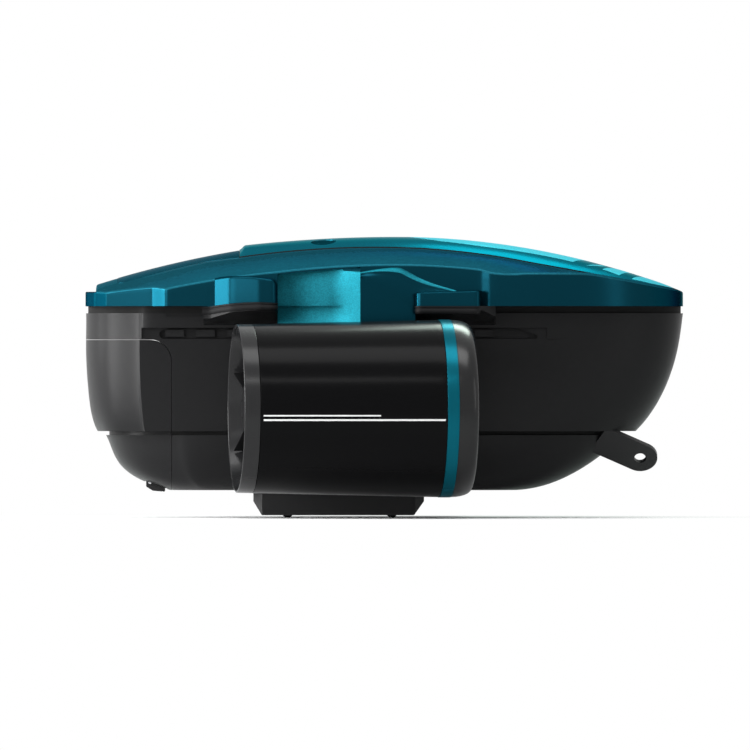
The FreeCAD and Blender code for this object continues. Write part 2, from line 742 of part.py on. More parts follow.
# Buttons, lens and switch domes
buttons = {}
dome_places = []
for name, x, y, radius in (("power_button", power_x, 0.0, power_radius),
                           ("throttle_button_right", throttle_x, -throttle_half, throttle_radius),
                           ("throttle_button_left", throttle_x, throttle_half, throttle_radius)):
    low = board_top_z + dome_height + button_travel + button_gap
    top = crown_height(x + radius, abs(y) + radius) - button_sink
    cap = Part.makeCylinder(radius, top - low, V(x, y, low))
    cap = cap.makeFillet(button_edge, [edge for edge in cap.Edges if edge.BoundBox.ZMin > top - 0.1])
    dish = Part.makeSphere(dish_radius, V(x, y, top + dish_radius - dish_depth))
    buttons[name] = cap.cut(dish)
    hole = Part.makeCylinder(radius + button_gap, far, V(x, y, board_top_z))
    deck_cover = deck_cover.cut(hole)
    crown_panel = crown_panel.cut(hole)
    dome_places.append(Part.makeCylinder(dome_radius, dome_height, V(x, y, board_top_z)))
lens_corners = [(lens_rear_x, -lens_half, 4), (lens_front_x, -lens_half, 4), (lens_front_x, lens_half, 4),
                (lens_rear_x, lens_half, 4)]
lens_block = prism(outline(lens_corners), deck_z, far)
status_lens = lens_block.common(below(crown_surface(0.1))).cut(crown_seat)
crown_panel = crown_panel.cut(lens_block)

# Bottom block with chamfered corners, on dome-head screws
block_corners = [(block_rear_x, keel_z, 0), (block_rear_x, block_shoulder_z, 0),
                 (block_rear_x + block_taper_rear, block_low_z, 1.5),
                 (block_front_x - block_taper_front, block_low_z, 1.5), (block_front_x, block_shoulder_z, 0),
                 (block_front_x, keel_z, 0)]
block_plan = outline([
    (block_rear_x, block_half - block_chamfer, 0), (block_rear_x + block_chamfer, block_half, 0),
    (block_front_x - block_chamfer, block_half, 0), (block_front_x, block_half - block_chamfer, 0),
    (block_front_x, -block_half + block_chamfer, 0), (block_front_x - block_chamfer, -block_half, 0),
    (block_rear_x + block_chamfer, -block_half, 0), (block_rear_x, -block_half + block_chamfer, 0)])
bottom_block = side_prism(block_corners, block_half).common(prism(block_plan, 0, keel_z))
feet = []
for x in (foot_rear_x, foot_front_x):
    for y in (-block_half + foot_inset_y, block_half - foot_inset_y):
        profile = outline([(0, 0, 0), (foot_radius * 0.6, 0, 1.2), (foot_radius, block_low_z * 0.8, 0.3),
                           (foot_radius, block_low_z, 0), (foot_shank_radius, block_low_z, 0),
                           (foot_shank_radius, block_low_z + foot_shank_length, 0),
                           (0, block_low_z + foot_shank_length, 0)], upright)
        foot = Part.Face(profile).revolve(V(0, 0, 0), V(0, 0, 1), 360)
        foot.translate(V(x, y, 0))
        feet.append(foot)
        bottom_block = bottom_block.cut(Part.makeCylinder(foot_shank_radius, foot_shank_length,
                                                          V(x, y, block_low_z)))

# Motor controller on the front wall of the battery bay, with cooling fins
controller = box((bay_front_x, -controller_half, controller_low_z),
                 (controller_front_x, controller_half, controller_top_z))
for i in range(fin_count):
    x = bay_front_x + fin_pitch * (i + 1)
    controller = controller.fuse(box((x, -controller_half, controller_top_z - 1),
                                     (x + fin_thickness, controller_half, controller_top_z + fin_height)))

# Duct pieces, in their own lengths along the axis
outlet_ring = spun([(0, rim_bore_radius, 0.8), (0, rim_radius, 0.8),
                    (outlet_length, shell_radius(outlet_length), 0), (outlet_length, stator_bore_radius, 0)])
duct_shell = spun([(outlet_length, stator_bore_radius, 0), (outlet_length, shell_radius(outlet_length), 0),
                   (shell_front_s, shell_front_radius, 0), (shell_front_s, throat_radius, 0),
                   (throat_rear_s, throat_radius, 0), (stator_seat_s, stator_bore_radius, 0)])
accent_radius = shell_front_radius + accent_proud
accent_ring = sleeve(shell_front_s, accent_front_s, throat_radius, accent_radius, 0, 0.2)
lip_nose = upright(thruster_length, lip_nose_radius)
lip_outer = Part.Arc(upright(accent_front_s, shell_front_radius),
                     upright(accent_front_s + lip_shoulder, shell_front_radius - lip_shoulder_fall), lip_nose)
lip_inner = Part.Arc(lip_nose, upright(thruster_length - 2.5, throat_radius + 2),
                     upright(accent_front_s + lip_bore_length, throat_radius))
lip_heel = upright(accent_front_s, throat_radius)
lip_wire = Part.Wire([lip_outer.toShape(), lip_inner.toShape(), Part.makeLine(lip_inner.EndPoint, lip_heel),
                      Part.makeLine(lip_heel, lip_outer.StartPoint)])
intake_lip = Part.Face(lip_wire).revolve(V(0, 0, 0), V(1, 0, 0), 360)

# Stator: hub with the motor inside, six curved vanes and a ring seated in the duct
rear_bearing_s = motor_rear_s - bearing_length
shaft_rear_s = rear_bearing_s - shaft_stub
shaft_room_s = shaft_rear_s - shaft_end_gap
hub = spun([(hub_tail_s, 0, 0), (hub_tail_s, hub_tail_radius, 3), (hub_full_s, hub_radius, 30),
            (hub_front_s, hub_radius, 0), (hub_front_s, motor_radius, 0), (motor_rear_s, motor_radius, 0),
            (motor_rear_s, rear_bearing_radius, 0), (shaft_room_s, rear_bearing_radius, 0),
            (shaft_room_s, 0, 0)])
ring_outer = stator_bore_radius - face_gap / 2
stator_ring = spun([(outlet_length + 1, ring_outer - ring_wall, 0.4), (outlet_length + 1, ring_outer, 0),
                    (vane_front_s, ring_outer, 0), (vane_front_s, ring_outer - ring_wall, 0.4)])


def vane():
    """Curved plate between the hub and the ring, straight along the flow at its rear edge."""
    half = vane_thickness / 2
    mid_s = (vane_rear_s + vane_front_s) / 2 + 4
    bow = vane_sweep * 0.22
    rear = [V(vane_rear_s, half * 0.5, 0), V(vane_rear_s, -half * 0.5, 0)]
    front = [V(vane_front_s, vane_sweep, 0), V(vane_front_s, vane_sweep - half, 0)]
    side_a = Part.Arc(rear[0], V(mid_s, bow + half, 0), front[0])
    side_b = Part.Arc(front[1], V(mid_s, bow - half, 0), rear[1])
    ends = [Part.makeLine(front[0], front[1]), Part.makeLine(rear[1], rear[0])]
    section = Part.Wire([side_a.toShape(), ends[0], side_b.toShape(), ends[1]])
    plate = Part.Face(section).extrude(V(0, 0, far / 4))
    rear_slant = side_prism([(-10, 0, 0), (13.0, hub_radius - 8, 0), (vane_rear_s, ring_outer, 0),
                             (-10, far / 4, 0)], far)
    return plate.cut(rear_slant)


vane_limits = Part.makeCylinder(ring_outer - ring_wall / 2, vane_front_s - 4, V(0, 0, 0), V(1, 0, 0))
vane_limits = vane_limits.cut(Part.makeCylinder(hub_tail_radius - 6, far, V(0, 0, 0), V(1, 0, 0)))
one_vane = vane().common(vane_limits)
hub_solid = spun([(hub_tail_s, 0, 0), (hub_tail_s, hub_tail_radius, 3), (hub_full_s, hub_radius, 30),
                  (hub_front_s, hub_radius, 0), (hub_front_s, 0, 0)])
one_vane = one_vane.cut(hub_solid)
vanes = []
for i in range(vane_count):
    turned = one_vane.copy()
    turned.rotate(V(0, 0, 0), V(1, 0, 0), vane_offset + i * 360 / vane_count)
    vanes.append(turned)
stator = hub.fuse(vanes + [stator_ring])

# Motor pieces in the hub
motor_cap = spun([(hub_front_s, front_bearing_radius, 0), (hub_front_s, hub_radius, 0),
                  (cap_front_s, hub_radius - 4, 3), (cap_front_s, shaft_radius + face_gap, 0),
                  (hub_front_s + bearing_length, shaft_radius + face_gap, 0),
                  (hub_front_s + bearing_length, front_bearing_radius, 0)])
windings = sleeve(winding_rear_s, winding_front_s, winding_bore, motor_radius, 1)
rotor = sleeve(winding_rear_s + 1, winding_front_s - 1, shaft_radius, rotor_radius, 0, 0.5)
shaft = sleeve(shaft_rear_s, shaft_front_s, 0, shaft_radius, 0, 0.5)
bearing_bore = shaft_radius + run_gap
rear_bearing = sleeve(rear_bearing_s, motor_rear_s, bearing_bore, rear_bearing_radius, 0.3)
front_bearing = sleeve(hub_front_s, hub_front_s + bearing_length, bearing_bore, front_bearing_radius, 0.3)

# Propeller: twisted blades through lens-shaped sections, and the spinner ahead of it
def blade_section(i, radius):
    """Lens-shaped closed wire at one radius; pitch is the angle to the plane of rotation."""
    chord, thickness = blade_chords[i], blade_thicknesses[i]
    lean = math.radians(blade_pitches[i])
    middle = (propeller_rear_s + propeller_front_s) / 2 - blade_rake * i

    def at(along, across):
        return V(middle + along * math.sin(lean) - across * math.cos(lean),
                 along * math.cos(lean) + across * math.sin(lean), radius)

    back = Part.Arc(at(-chord / 2, 0), at(0, thickness * 0.7), at(chord / 2, 0))
    face = Part.Arc(at(chord / 2, 0), at(0, -thickness * 0.3), at(-chord / 2, 0))
    return Part.Wire([back.toShape(), face.toShape()])


blade_radii = (propeller_hub_radius - blade_root_sink, propeller_radius * 0.58, propeller_radius * 0.8,
               propeller_radius + 1)
blade = Part.makeLoft([blade_section(i, radius) for i, radius in enumerate(blade_radii)], True, False)
blade = blade.common(Part.makeCylinder(propeller_radius, far, V(0, 0, 0), V(1, 0, 0)))
propeller = spun([(propeller_rear_s, 0, 0), (propeller_rear_s, propeller_hub_radius - 1, 1.5),
                  (propeller_front_s, propeller_hub_radius, 0), (propeller_front_s, 0, 0)])
blades = []
for i in range(blade_count):
    turned = blade.copy()
    turned.rotate(V(0, 0, 0), V(1, 0, 0), i * 360 / blade_count)
    blades.append(turned)
propeller = propeller.fuse(blades).cut(shaft)
spinner_reach = spinner_front_s - propeller_front_s
nose_points = [upright(propeller_front_s + spinner_reach * math.sin(math.radians(15 * step)),
                       propeller_hub_radius * math.cos(math.radians(15 * step))) for step in range(7)]
nose_curve = Part.BSplineCurve()
nose_curve.interpolate(Points=nose_points, InitialTangent=V(1, 0, 0), FinalTangent=V(0, 0, -1))
spinner_wire = Part.Wire([
    Part.makeLine(upright(propeller_front_s, 0), upright(propeller_front_s, propeller_hub_radius)),
    nose_curve.toShape(), Part.makeLine(upright(spinner_front_s, 0), upright(propeller_front_s, 0))])
spinner = Part.Face(spinner_wire).revolve(V(0, 0, 0), V(1, 0, 0), 360)

# Guard across the intake: two rings, a middle disc and spokes
guard_front_s = guard_s + guard_thickness


def guard_ring(inner, outer):
    """Flat ring of the guard between two radii."""
    return sleeve(guard_s, guard_front_s, inner, outer)


intake_guard = guard_ring(throat_radius - guard_bar, throat_radius - face_gap / 2)
guard_pieces = [guard_ring(guard_ring_radius - guard_bar / 2, guard_ring_radius + guard_bar / 2),
                Part.makeCylinder(guard_disc_radius, guard_thickness, V(guard_s, 0, 0), V(1, 0, 0))]
for i in range(guard_spokes):
    spoke = box((guard_s, -guard_bar / 2, guard_disc_radius - 4),
                (guard_front_s, guard_bar / 2, throat_radius - guard_bar / 2))
    spoke.rotate(V(0, 0, 0), V(1, 0, 0), i * 360 / guard_spokes)
    guard_pieces.append(spoke)
intake_guard = intake_guard.fuse(guard_pieces)

# Pylon between the deck and the duct
duct_envelope = spun([(0, 0, 0), (0, rim_radius, 0), (shell_front_s, shell_front_radius, 0),
                      (shell_front_s, 0, 0)])
pylon = prism(pylon_plan, pylon_low_z, deck_z)
pylon = mirrored(pylon).cut(on_axis(duct_envelope))
accent_clear = Part.makeCylinder(shell_front_radius + 1, accent_length + lip_length,
                                 V(shell_front_s, 0, 0), V(1, 0, 0))
pylon = pylon.cut(on_axis(accent_clear))

save(deck_cover, "deck_cover")
save(crown_panel, "crown_panel")
save(tail_panel, "tail_panel")
save(Part.makeCompound(inlays), "bow_inlays")
save(deck_gasket, "deck_gasket")
save(upper_hull, "upper_hull")
save(hull_gasket, "hull_gasket")
save(lower_hull, "lower_hull")
save(keel_plate, "keel_plate")
save_pair(side_vent, "side_vent")
save_pair(tow_eye, "tow_eye")
save(bottom_block, "bottom_block")
save(Part.makeCompound(feet), "block_screws")
save(battery_bay, "battery_bay")
save(Part.makeCompound(bay_contacts), "bay_contacts")
save(controller, "motor_controller")
save(control_board, "control_board")
save(Part.makeCompound(dome_places), "switch_domes")
save(status_lens, "status_lens")
save(battery_shell, "battery_shell")
save(Part.makeCompound(cells), "battery_cells")
save(Part.makeCompound(pack_contacts), "battery_contacts")
save(battery_seal, "battery_seal")
save(battery_latch, "battery_latch")
save(pin_hole, "latch_pin")
for name, shape in buttons.items():
    save(shape, name)
save_pair(pylon, "pylon")
for name, shape in (("outlet_ring", outlet_ring), ("duct_shell", duct_shell), ("accent_ring", accent_ring),
                    ("intake_lip", intake_lip), ("intake_guard", intake_guard), ("stator", stator),
                    ("motor_cap", motor_cap), ("motor_windings", windings), ("rear_bearing", rear_bearing),
                    ("front_bearing", front_bearing), ("motor_rotor", rotor), ("propeller_shaft", shaft),
                    ("propeller", propeller), ("spinner", spinner)):
    save_pair(on_axis(shape), name)
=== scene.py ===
import math

import bmesh
import bpy
import numpy as np
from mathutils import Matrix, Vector
from mathutils.geometry import delaunay_2d_cdt


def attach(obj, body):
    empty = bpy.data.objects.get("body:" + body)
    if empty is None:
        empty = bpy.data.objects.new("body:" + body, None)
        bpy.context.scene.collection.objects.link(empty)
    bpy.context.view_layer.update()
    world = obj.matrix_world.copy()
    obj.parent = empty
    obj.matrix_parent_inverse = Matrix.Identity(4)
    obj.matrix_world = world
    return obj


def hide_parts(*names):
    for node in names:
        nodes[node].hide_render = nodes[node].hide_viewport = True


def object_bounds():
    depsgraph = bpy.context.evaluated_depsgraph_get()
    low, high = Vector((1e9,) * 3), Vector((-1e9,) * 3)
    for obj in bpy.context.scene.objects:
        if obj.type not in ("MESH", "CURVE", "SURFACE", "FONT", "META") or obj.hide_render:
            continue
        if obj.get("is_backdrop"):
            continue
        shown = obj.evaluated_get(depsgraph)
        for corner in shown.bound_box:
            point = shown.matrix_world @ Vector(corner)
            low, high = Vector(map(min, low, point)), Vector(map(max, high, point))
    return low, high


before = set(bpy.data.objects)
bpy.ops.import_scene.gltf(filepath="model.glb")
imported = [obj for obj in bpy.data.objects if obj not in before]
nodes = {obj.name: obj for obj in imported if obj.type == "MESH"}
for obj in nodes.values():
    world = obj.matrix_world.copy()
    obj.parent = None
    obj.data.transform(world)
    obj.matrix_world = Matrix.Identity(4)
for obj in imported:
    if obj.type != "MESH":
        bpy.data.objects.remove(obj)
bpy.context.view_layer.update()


# The studio: white all round, a pale floor sheet and seven soft lamps: a wide box overhead, a thin strip on
# the near side under it, three lamps behind the stern, a weak one ahead of the bow, and a faintly green box
# high on the far side for the sheen along the crown.
def soft_box(name, place, aim, width, height, power, colour=(1, 1, 1)):
    """Rectangular lamp at a place, turned to face a point."""
    lamp = bpy.data.lights.new(name, "AREA")
    lamp.shape = "RECTANGLE"
    lamp.size = width
    lamp.size_y = height
    lamp.energy = power
    lamp.color = colour
    holder = bpy.data.objects.new(name, lamp)
    holder.location = place
    holder.rotation_euler = (Vector(aim) - Vector(place)).to_track_quat("-Z", "Y").to_euler()
    bpy.context.scene.collection.objects.link(holder)


def feed(tree, node, inputs):
    """Fill a node's inputs, by name or number: another node's output is linked in, any other value is set."""
    for socket, value in inputs.items():
        if isinstance(value, bpy.types.NodeSocket):
            tree.links.new(value, node.inputs[socket])
        else:
            node.inputs[socket].default_value = value


def add_node(tree, kind, inputs, **settings):
    """Node of a kind, with its settings made and its inputs filled."""
    node = tree.nodes.new(kind)
    for setting, value in settings.items():
        setattr(node, setting, value)
    feed(tree, node, inputs)
    return node


soft_box("overhead_box", (-0.05, -0.45, 1.25), (0.0, 0.0, 0.15), 1.4, 0.50, 11.0)
soft_box("near_stern_box", (-0.95, -1.05, 0.42), (-0.05, -0.10, 0.15), 0.75, 0.50, 7.5)
soft_box("stern_strip", (-1.28, -0.32, 0.40), (-0.08, -0.10, 0.16), 0.44, 0.80, 22.0)
soft_box("far_stern_box", (-1.30, 0.30, 0.38), (-0.22, -0.06, 0.18), 0.50, 0.50, 4.5)
soft_box("bow_strip", (1.20, -0.72, 0.42), (0.1, -0.05, 0.14), 0.20, 0.70, 0.9)
soft_box("ring_strip", (-0.05, -1.25, 0.95), (-0.02, -0.10, 0.10), 0.7, 0.10, 1.8)
soft_box("crown_box", (0.34, 0.90, 1.31), (0.08, -0.05, 0.23), 0.62, 0.42, 9.5, (0.84, 1.0, 0.90))

# the surroundings look white to the camera, in reflections and through clear things, and light the rest faintly
studio = bpy.data.worlds.new("white_studio")
bpy.context.scene.world = studio
studio.use_nodes = True
tree = studio.node_tree
tree.nodes.clear()
seen = add_node(tree, "ShaderNodeLightPath", {}).outputs
either = add_node(tree, "ShaderNodeMath", {0: seen["Is Camera Ray"], 1: seen["Is Glossy Ray"]},
                  operation="MAXIMUM")
any_of = add_node(tree, "ShaderNodeMath", {0: either.outputs[0], 1: seen["Is Transmission Ray"]},
                  operation="MAXIMUM")
fill_light = add_node(tree, "ShaderNodeBackground", {"Color": (0.92, 0.96, 1.0, 1), "Strength": 0.25})
white = add_node(tree, "ShaderNodeBackground", {"Color": (1, 1, 1, 1), "Strength": 1.0})
choice = add_node(tree, "ShaderNodeMixShader",
                  {0: any_of.outputs[0], 1: fill_light.outputs[0], 2: white.outputs[0]})
add_node(tree, "ShaderNodeOutputWorld", {"Surface": choice.outputs[0]})

# the floor sheet fades to white away from the middle and can be seen through from below
sheet_radius, sheet_corners = 0.9, 72
around = np.linspace(0, 2 * math.pi, sheet_corners + 1)[:-1]
sheet = np.stack([sheet_radius * np.cos(around), sheet_radius * np.sin(around), 0 * around], -1)
floor_mesh = bpy.data.meshes.new("floor_sheet")
floor_mesh.from_pydata(sheet.tolist(), [], [tuple(range(sheet_corners))])
floor_sheet = bpy.data.objects.new("floor_sheet", floor_mesh)
bpy.context.scene.collection.objects.link(floor_sheet)
floor_paint = bpy.data.materials.new("floor_paint")
floor_paint.use_nodes = True
tree = floor_paint.node_tree
matt = tree.nodes["Principled BSDF"]
feed(tree, matt, {"Base Color": (0.93, 0.93, 0.93, 1), "Roughness": 0.9, "Specular IOR Level": 0.1})
where = add_node(tree, "ShaderNodeTexCoord", {}).outputs["Object"]
reach = add_node(tree, "ShaderNodeVectorMath", {0: where}, operation="LENGTH")
fade = add_node(tree, "ShaderNodeMapRange",
                {"From Min": 0.10, "From Max": 0.42, "Value": reach.outputs["Value"]},
                interpolation_type="SMOOTHSTEP")
seen = add_node(tree, "ShaderNodeLightPath", {}).outputs
shown = add_node(tree, "ShaderNodeMath", {0: fade.outputs["Result"], 1: seen["Is Camera Ray"]},
                 operation="MULTIPLY")
blank = add_node(tree, "ShaderNodeEmission", {})
faded = add_node(tree, "ShaderNodeMixShader",
                 {0: shown.outputs[0], 1: matt.outputs["BSDF"], 2: blank.outputs["Emission"]})
facing = add_node(tree, "ShaderNodeNewGeometry", {})
clear = add_node(tree, "ShaderNodeBsdfTransparent", {})
open_below = add_node(tree, "ShaderNodeMixShader",
                      {0: facing.outputs["Backfacing"], 1: faded.outputs[0], 2: clear.outputs[0]})
feed(tree, tree.nodes["Material Output"], {"Surface": open_below.outputs[0]})
floor_mesh.materials.append(floor_paint)
floor_sheet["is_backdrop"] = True

camera_distance, picture_width = 20.0, 0.6784
camera = bpy.data.cameras.new("side_camera")
camera.sensor_width = 36.0
camera.lens = 36.0 * camera_distance / picture_width
camera.clip_end = 200.0
camera_holder = bpy.data.objects.new("side_camera", camera)
camera_holder.location = (-0.0086, -camera_distance, 0.1289)
camera_holder.rotation_euler = (math.radians(90), 0, 0)
bpy.context.scene.collection.objects.link(camera_holder)
bpy.context.scene.camera = camera_holder
bpy.context.scene.view_settings.view_transform = "Standard"


# The hull: an upper and a lower black shell and a keel plate, moulded in glass-filled nylon with a fine
# eroded texture, with a soft rubber bead in the groove between them and a flat seal under the deck.
def moulded(name, colour, roughness, specular, grain=1500.0, depth=0.15, spread=0.12, metal=0.0,
            stretch=(1, 1, 1), edge=(1, 1, 1), coat=0.0):
    """Plastic, paint or metal finish: its colour drifts a little over the piece, and a fine noise in
    millimetres, drawn out along an axis for a brushed or wound surface, varies its colour and roughness and
    lifts its surface. The edge colour tints what it mirrors at a low angle."""
    material = bpy.data.materials.new(name)
    material.use_nodes = True
    tree = material.node_tree
    where = add_node(tree, "ShaderNodeTexCoord", {}).outputs["Object"]
    drift = add_node(tree, "ShaderNodeTexNoise", {"Scale": 14.0, "Detail": 4.0, "Vector": where})
    drawn = add_node(tree, "ShaderNodeMapping", {"Scale": stretch, "Vector": where})
    fine = add_node(tree, "ShaderNodeTexNoise",
                    {"Scale": grain, "Detail": 2.0, "Vector": drawn.outputs["Vector"]}).outputs["Fac"]
    halved = add_node(tree, "ShaderNodeMath", {0: drift.outputs["Fac"], 1: 0.5}, operation="MULTIPLY")
    both = add_node(tree, "ShaderNodeMath", {0: fine, 1: 0.5, 2: halved.outputs[0]}, operation="MULTIPLY_ADD")
    dark = (*[c * (1 - 2 * spread) for c in colour], 1)
    light = (*[min(c * (1 + 2 * spread), 1) for c in colour], 1)
    tint = add_node(tree, "ShaderNodeMix", {"A": dark, "B": light, "Factor": both.outputs[0]},
                    data_type="RGBA")
    rough = add_node(tree, "ShaderNodeMapRange",
                     {"To Min": roughness * 0.88, "To Max": roughness * 1.12, "Value": fine})
    lift = add_node(tree, "ShaderNodeBump", {"Strength": depth, "Distance": 0.0004, "Height": fine})
    feed(tree, tree.nodes["Principled BSDF"], {
        "Base Color": tint.outputs["Result"], "Metallic": metal, "Roughness": rough.outputs["Result"],
        "Specular IOR Level": specular, "Specular Tint": (*edge, 1), "Coat Weight": coat,
        "Coat Roughness": 0.08, "Normal": lift.outputs["Normal"]})
    return material


even_shading = bpy.data.node_groups.new("even_shading", "GeometryNodeTree")
even_shading.interface.new_socket("Geometry", in_out="INPUT", socket_type="NodeSocketGeometry")
even_shading.interface.new_socket("Geometry", in_out="OUTPUT", socket_type="NodeSocketGeometry")
entry = add_node(even_shading, "NodeGroupInput", {})
plain = add_node(even_shading, "GeometryNodeRemoveAttribute",
                 {"Geometry": entry.outputs[0], "Name": "custom_normal"})
weld = add_node(even_shading, "GeometryNodeMergeByDistance",
                {"Geometry": plain.outputs["Geometry"], "Distance": 0.000004})
soften = add_node(even_shading, "GeometryNodeSetShadeSmooth", {"Geometry": weld.outputs["Geometry"]},
                  domain="FACE")
angle = add_node(even_shading, "GeometryNodeInputMeshEdgeAngle", {})
over = add_node(even_shading, "FunctionNodeCompare",
                {"A": angle.outputs["Unsigned Angle"], "B": math.radians(28)},
                operation="GREATER_THAN")
crease = add_node(even_shading, "GeometryNodeSetShadeSmooth",
                  {"Geometry": soften.outputs["Geometry"], "Selection": over.outputs["Result"],
                   "Shade Smooth": False}, domain="EDGE")
add_node(even_shading, "NodeGroupOutput", {0: crease.outputs["Geometry"]})


def dress(material, *names):
    """Give CAD pieces a finish, join their facets and shade them as one curved skin, with a crease where
    two facets meet at more than 28 degrees."""
    for name in names:
        piece = nodes[name]
        piece.data.materials.clear()
        piece.data.materials.append(material)
        shading = piece.modifiers.new("even_shading", "NODES")
        shading.node_group = even_shading


shell_look = {"colour": (0.0105, 0.0105, 0.0110), "roughness": 0.34, "specular": 0.10, "grain": 2200.0,
              "depth": 0.10, "spread": 0.06}
hull_black = moulded("hull_black", **shell_look)
rubber = moulded("rubber", (0.011, 0.011, 0.011), 0.75, 0.1, grain=900.0, depth=0.3)
dress(hull_black, "upper_hull", "lower_hull", "keel_plate")
dress(rubber, "deck_gasket", "hull_gasket")

# The vent strips: a thin backing in each side slot with a row of small blocks standing on it, moulded in
# one in a duller black and pressed into the slot.
vent_black = moulded("vent_black", (0.007, 0.007, 0.0075), 0.5, 0.15)
dress(vent_black, "side_vent_left", "side_vent_right")

# The battery pack: its rear block is the tail of the hull, and its tongue carries ten cells into a sealed
# bay, behind a rubber seal. A ribbed latch hangs under it on a steel pin.
pack_black = moulded("pack_black", **shell_look)
latch_black = moulded("latch_black", (0.010, 0.010, 0.0105), 0.40, 0.2, grain=1200.0)
seal_rubber = moulded("seal_rubber", (0.006, 0.006, 0.006), 0.7, 0.12, grain=800.0, depth=0.3)
cell_wrap = moulded("cell_wrap", (0.03, 0.09, 0.26), 0.30, 0.4, grain=300.0, depth=0.05, stretch=(1, 0.1, 1))
pin_steel = moulded("pin_steel", (0.50, 0.50, 0.52), 0.28, 0.5, metal=1.0, stretch=(1, 0.05, 1), spread=0.06)
brass = moulded("brass", (0.60, 0.42, 0.16), 0.28, 0.5, metal=1.0, stretch=(0.1, 1, 1), spread=0.06)
bay_grey = moulded("bay_grey", (0.11, 0.11, 0.115), 0.50, 0.3, grain=900.0)
dress(pack_black, "battery_shell")
dress(latch_black, "battery_latch")
dress(seal_rubber, "battery_seal")
dress(cell_wrap, "battery_cells")
dress(pin_steel, "latch_pin")
dress(brass, "bay_contacts", "battery_contacts")
dress(bay_grey, "battery_bay")

# The motor controller: a finned block cast in aluminium and bead-blasted, which sheds the heat of its
# switches. It is bolted to the front of the battery bay.
cast_metal = moulded("cast_metal", (0.42, 0.43, 0.44), 0.45, 0.5, grain=1100.0, depth=0.3, metal=1.0)
dress(cast_metal, "motor_controller")

# The ducts: on each side a glossy black moulded tube between a grey outlet rim, a teal band and a rounded
# intake lip. Each toes in a little towards the bow, and the rings are screwed to the tube from inside. Two
# thin white lines are printed along the outboard side.
def softened(corners, step=4.0, closed=True):
    """Points along a line of corners (a, b, radius): straight runs divided every few millimetres, and at a
    corner with a radius an arc that is tangent to both of its runs, in steps of nine degrees or less."""
    corners = [np.array(corner, float) for corner in corners]
    count = len(corners)
    stops = []
    for i, corner in enumerate(corners):
        point, radius = corner[:2], corner[2]
        if radius == 0 or (not closed and i in (0, count - 1)):
            stops.append(point[None])
            continue
        back = corners[i - 1][:2] - point
        ahead = corners[(i + 1) % count][:2] - point
        back, ahead = back / np.linalg.norm(back), ahead / np.linalg.norm(ahead)
        half_turn = math.acos(np.clip(back @ ahead, -1, 1)) / 2
        middle = point + (back + ahead) / np.linalg.norm(back + ahead) * radius / math.sin(half_turn)
        start = point + back * radius / math.tan(half_turn) - middle
        end = point + ahead * radius / math.tan(half_turn) - middle
        turn = math.pi - 2 * half_turn
        part = np.linspace(0, 1, max(3, int(math.degrees(turn) / 9) + 1) + 1)[:, None]
        swing = start * np.sin((1 - part) * turn) + end * np.sin(part * turn)
        stops.append(middle + swing / math.sin(turn))
    line = []
    for i, stop in enumerate(stops):
        line.append(stop)
        if i == count - 1 and not closed:
            break
        following = stops[(i + 1) % count][0]
        runs = max(1, int(round(np.linalg.norm(following - stop[-1]) / step)))
        part = np.linspace(0, 1, runs + 1)[1:-1, None]
        line.append(stop[-1] * (1 - part) + following * part)
    if closed:
        line.append(stops[0][:1])
    line = np.concatenate(line)
    keep = np.ones(len(line), bool)
    keep[1:] = np.linalg.norm(np.diff(line, axis=0), axis=1) > 1e-5
    return line[keep]


def grid_faces(rows, columns):
    """Four-sided faces between neighbouring points of a grid, each as the numbers of its points."""
    index = np.arange(rows * columns).reshape(rows, columns)
    return np.stack([index[:-1, :-1], index[1:, :-1], index[1:, 1:], index[:-1, 1:]], -1).reshape(-1, 4)


def hand_over(name, mesh, finishes, body, replaced, sharp):
    """Shade a mesh smooth but for edges sharper than an angle in degrees, give it its finishes, and set it in
    the scene under its body's empty, hiding the CAD pieces that it replaces."""
    mesh.polygons.foreach_set("use_smooth", np.ones(len(mesh.polygons), bool))
    mesh.set_sharp_from_angle(angle=math.radians(sharp))
    piece = bpy.data.objects.new(name, mesh)
    bpy.context.scene.collection.objects.link(piece)
    for finish in finishes:
        mesh.materials.append(finish)
    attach(piece, body)
    if replaced:
        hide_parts(*replaced)


def skin(name, patches, finishes, body, replaced=(), sharp=30, closed=False):
    """Piece made of patches, each a grid of points in millimetres, the number of its finish and a point
    behind it: neighbouring points are joined into four-sided faces, each patch is turned away from the
    point behind it, and equal points are merged. A closed piece is turned outwards as a whole."""
    same_point, no_length = 0.000003, 0.000001
    points, quads, marks, base = [], [], [], 0
    for patch, mark, behind in patches:
        faces = grid_faces(*patch.shape[:2])
        flat = patch.reshape(-1, 3)
        across = np.cross(flat[faces[:, 2]] - flat[faces[:, 0]], flat[faces[:, 3]] - flat[faces[:, 1]])
        if (across * (flat[faces].mean(axis=1) - behind)).sum() < 0:
            faces = faces[:, ::-1]
        points.append(flat / 1000)
        quads.append(faces + base)
        marks.append(np.full(len(faces), mark))
        base += len(flat)
    points, quads, marks = np.concatenate(points), np.concatenate(quads), np.concatenate(marks)
    mesh = bpy.data.meshes.new(name)
    mesh.vertices.add(len(points))
    mesh.vertices.foreach_set("co", points.astype(np.float32).ravel())
    mesh.loops.add(quads.size)
    mesh.loops.foreach_set("vertex_index", quads.astype(np.int32).ravel())
    mesh.polygons.add(len(quads))
    mesh.polygons.foreach_set("loop_start", np.arange(0, quads.size, 4, dtype=np.int32))
    mesh.polygons.foreach_set("material_index", marks.astype(np.int32))
    mesh.update(calc_edges=True)
    joined = bmesh.new()
    joined.from_mesh(mesh)
    bmesh.ops.remove_doubles(joined, verts=joined.verts, dist=same_point)
    bmesh.ops.dissolve_degenerate(joined, edges=joined.edges, dist=no_length)
    if closed:
        bmesh.ops.recalc_face_normals(joined, faces=joined.faces)
    joined.to_mesh(mesh)
    joined.free()
    hand_over(name, mesh, finishes, body, replaced, sharp)


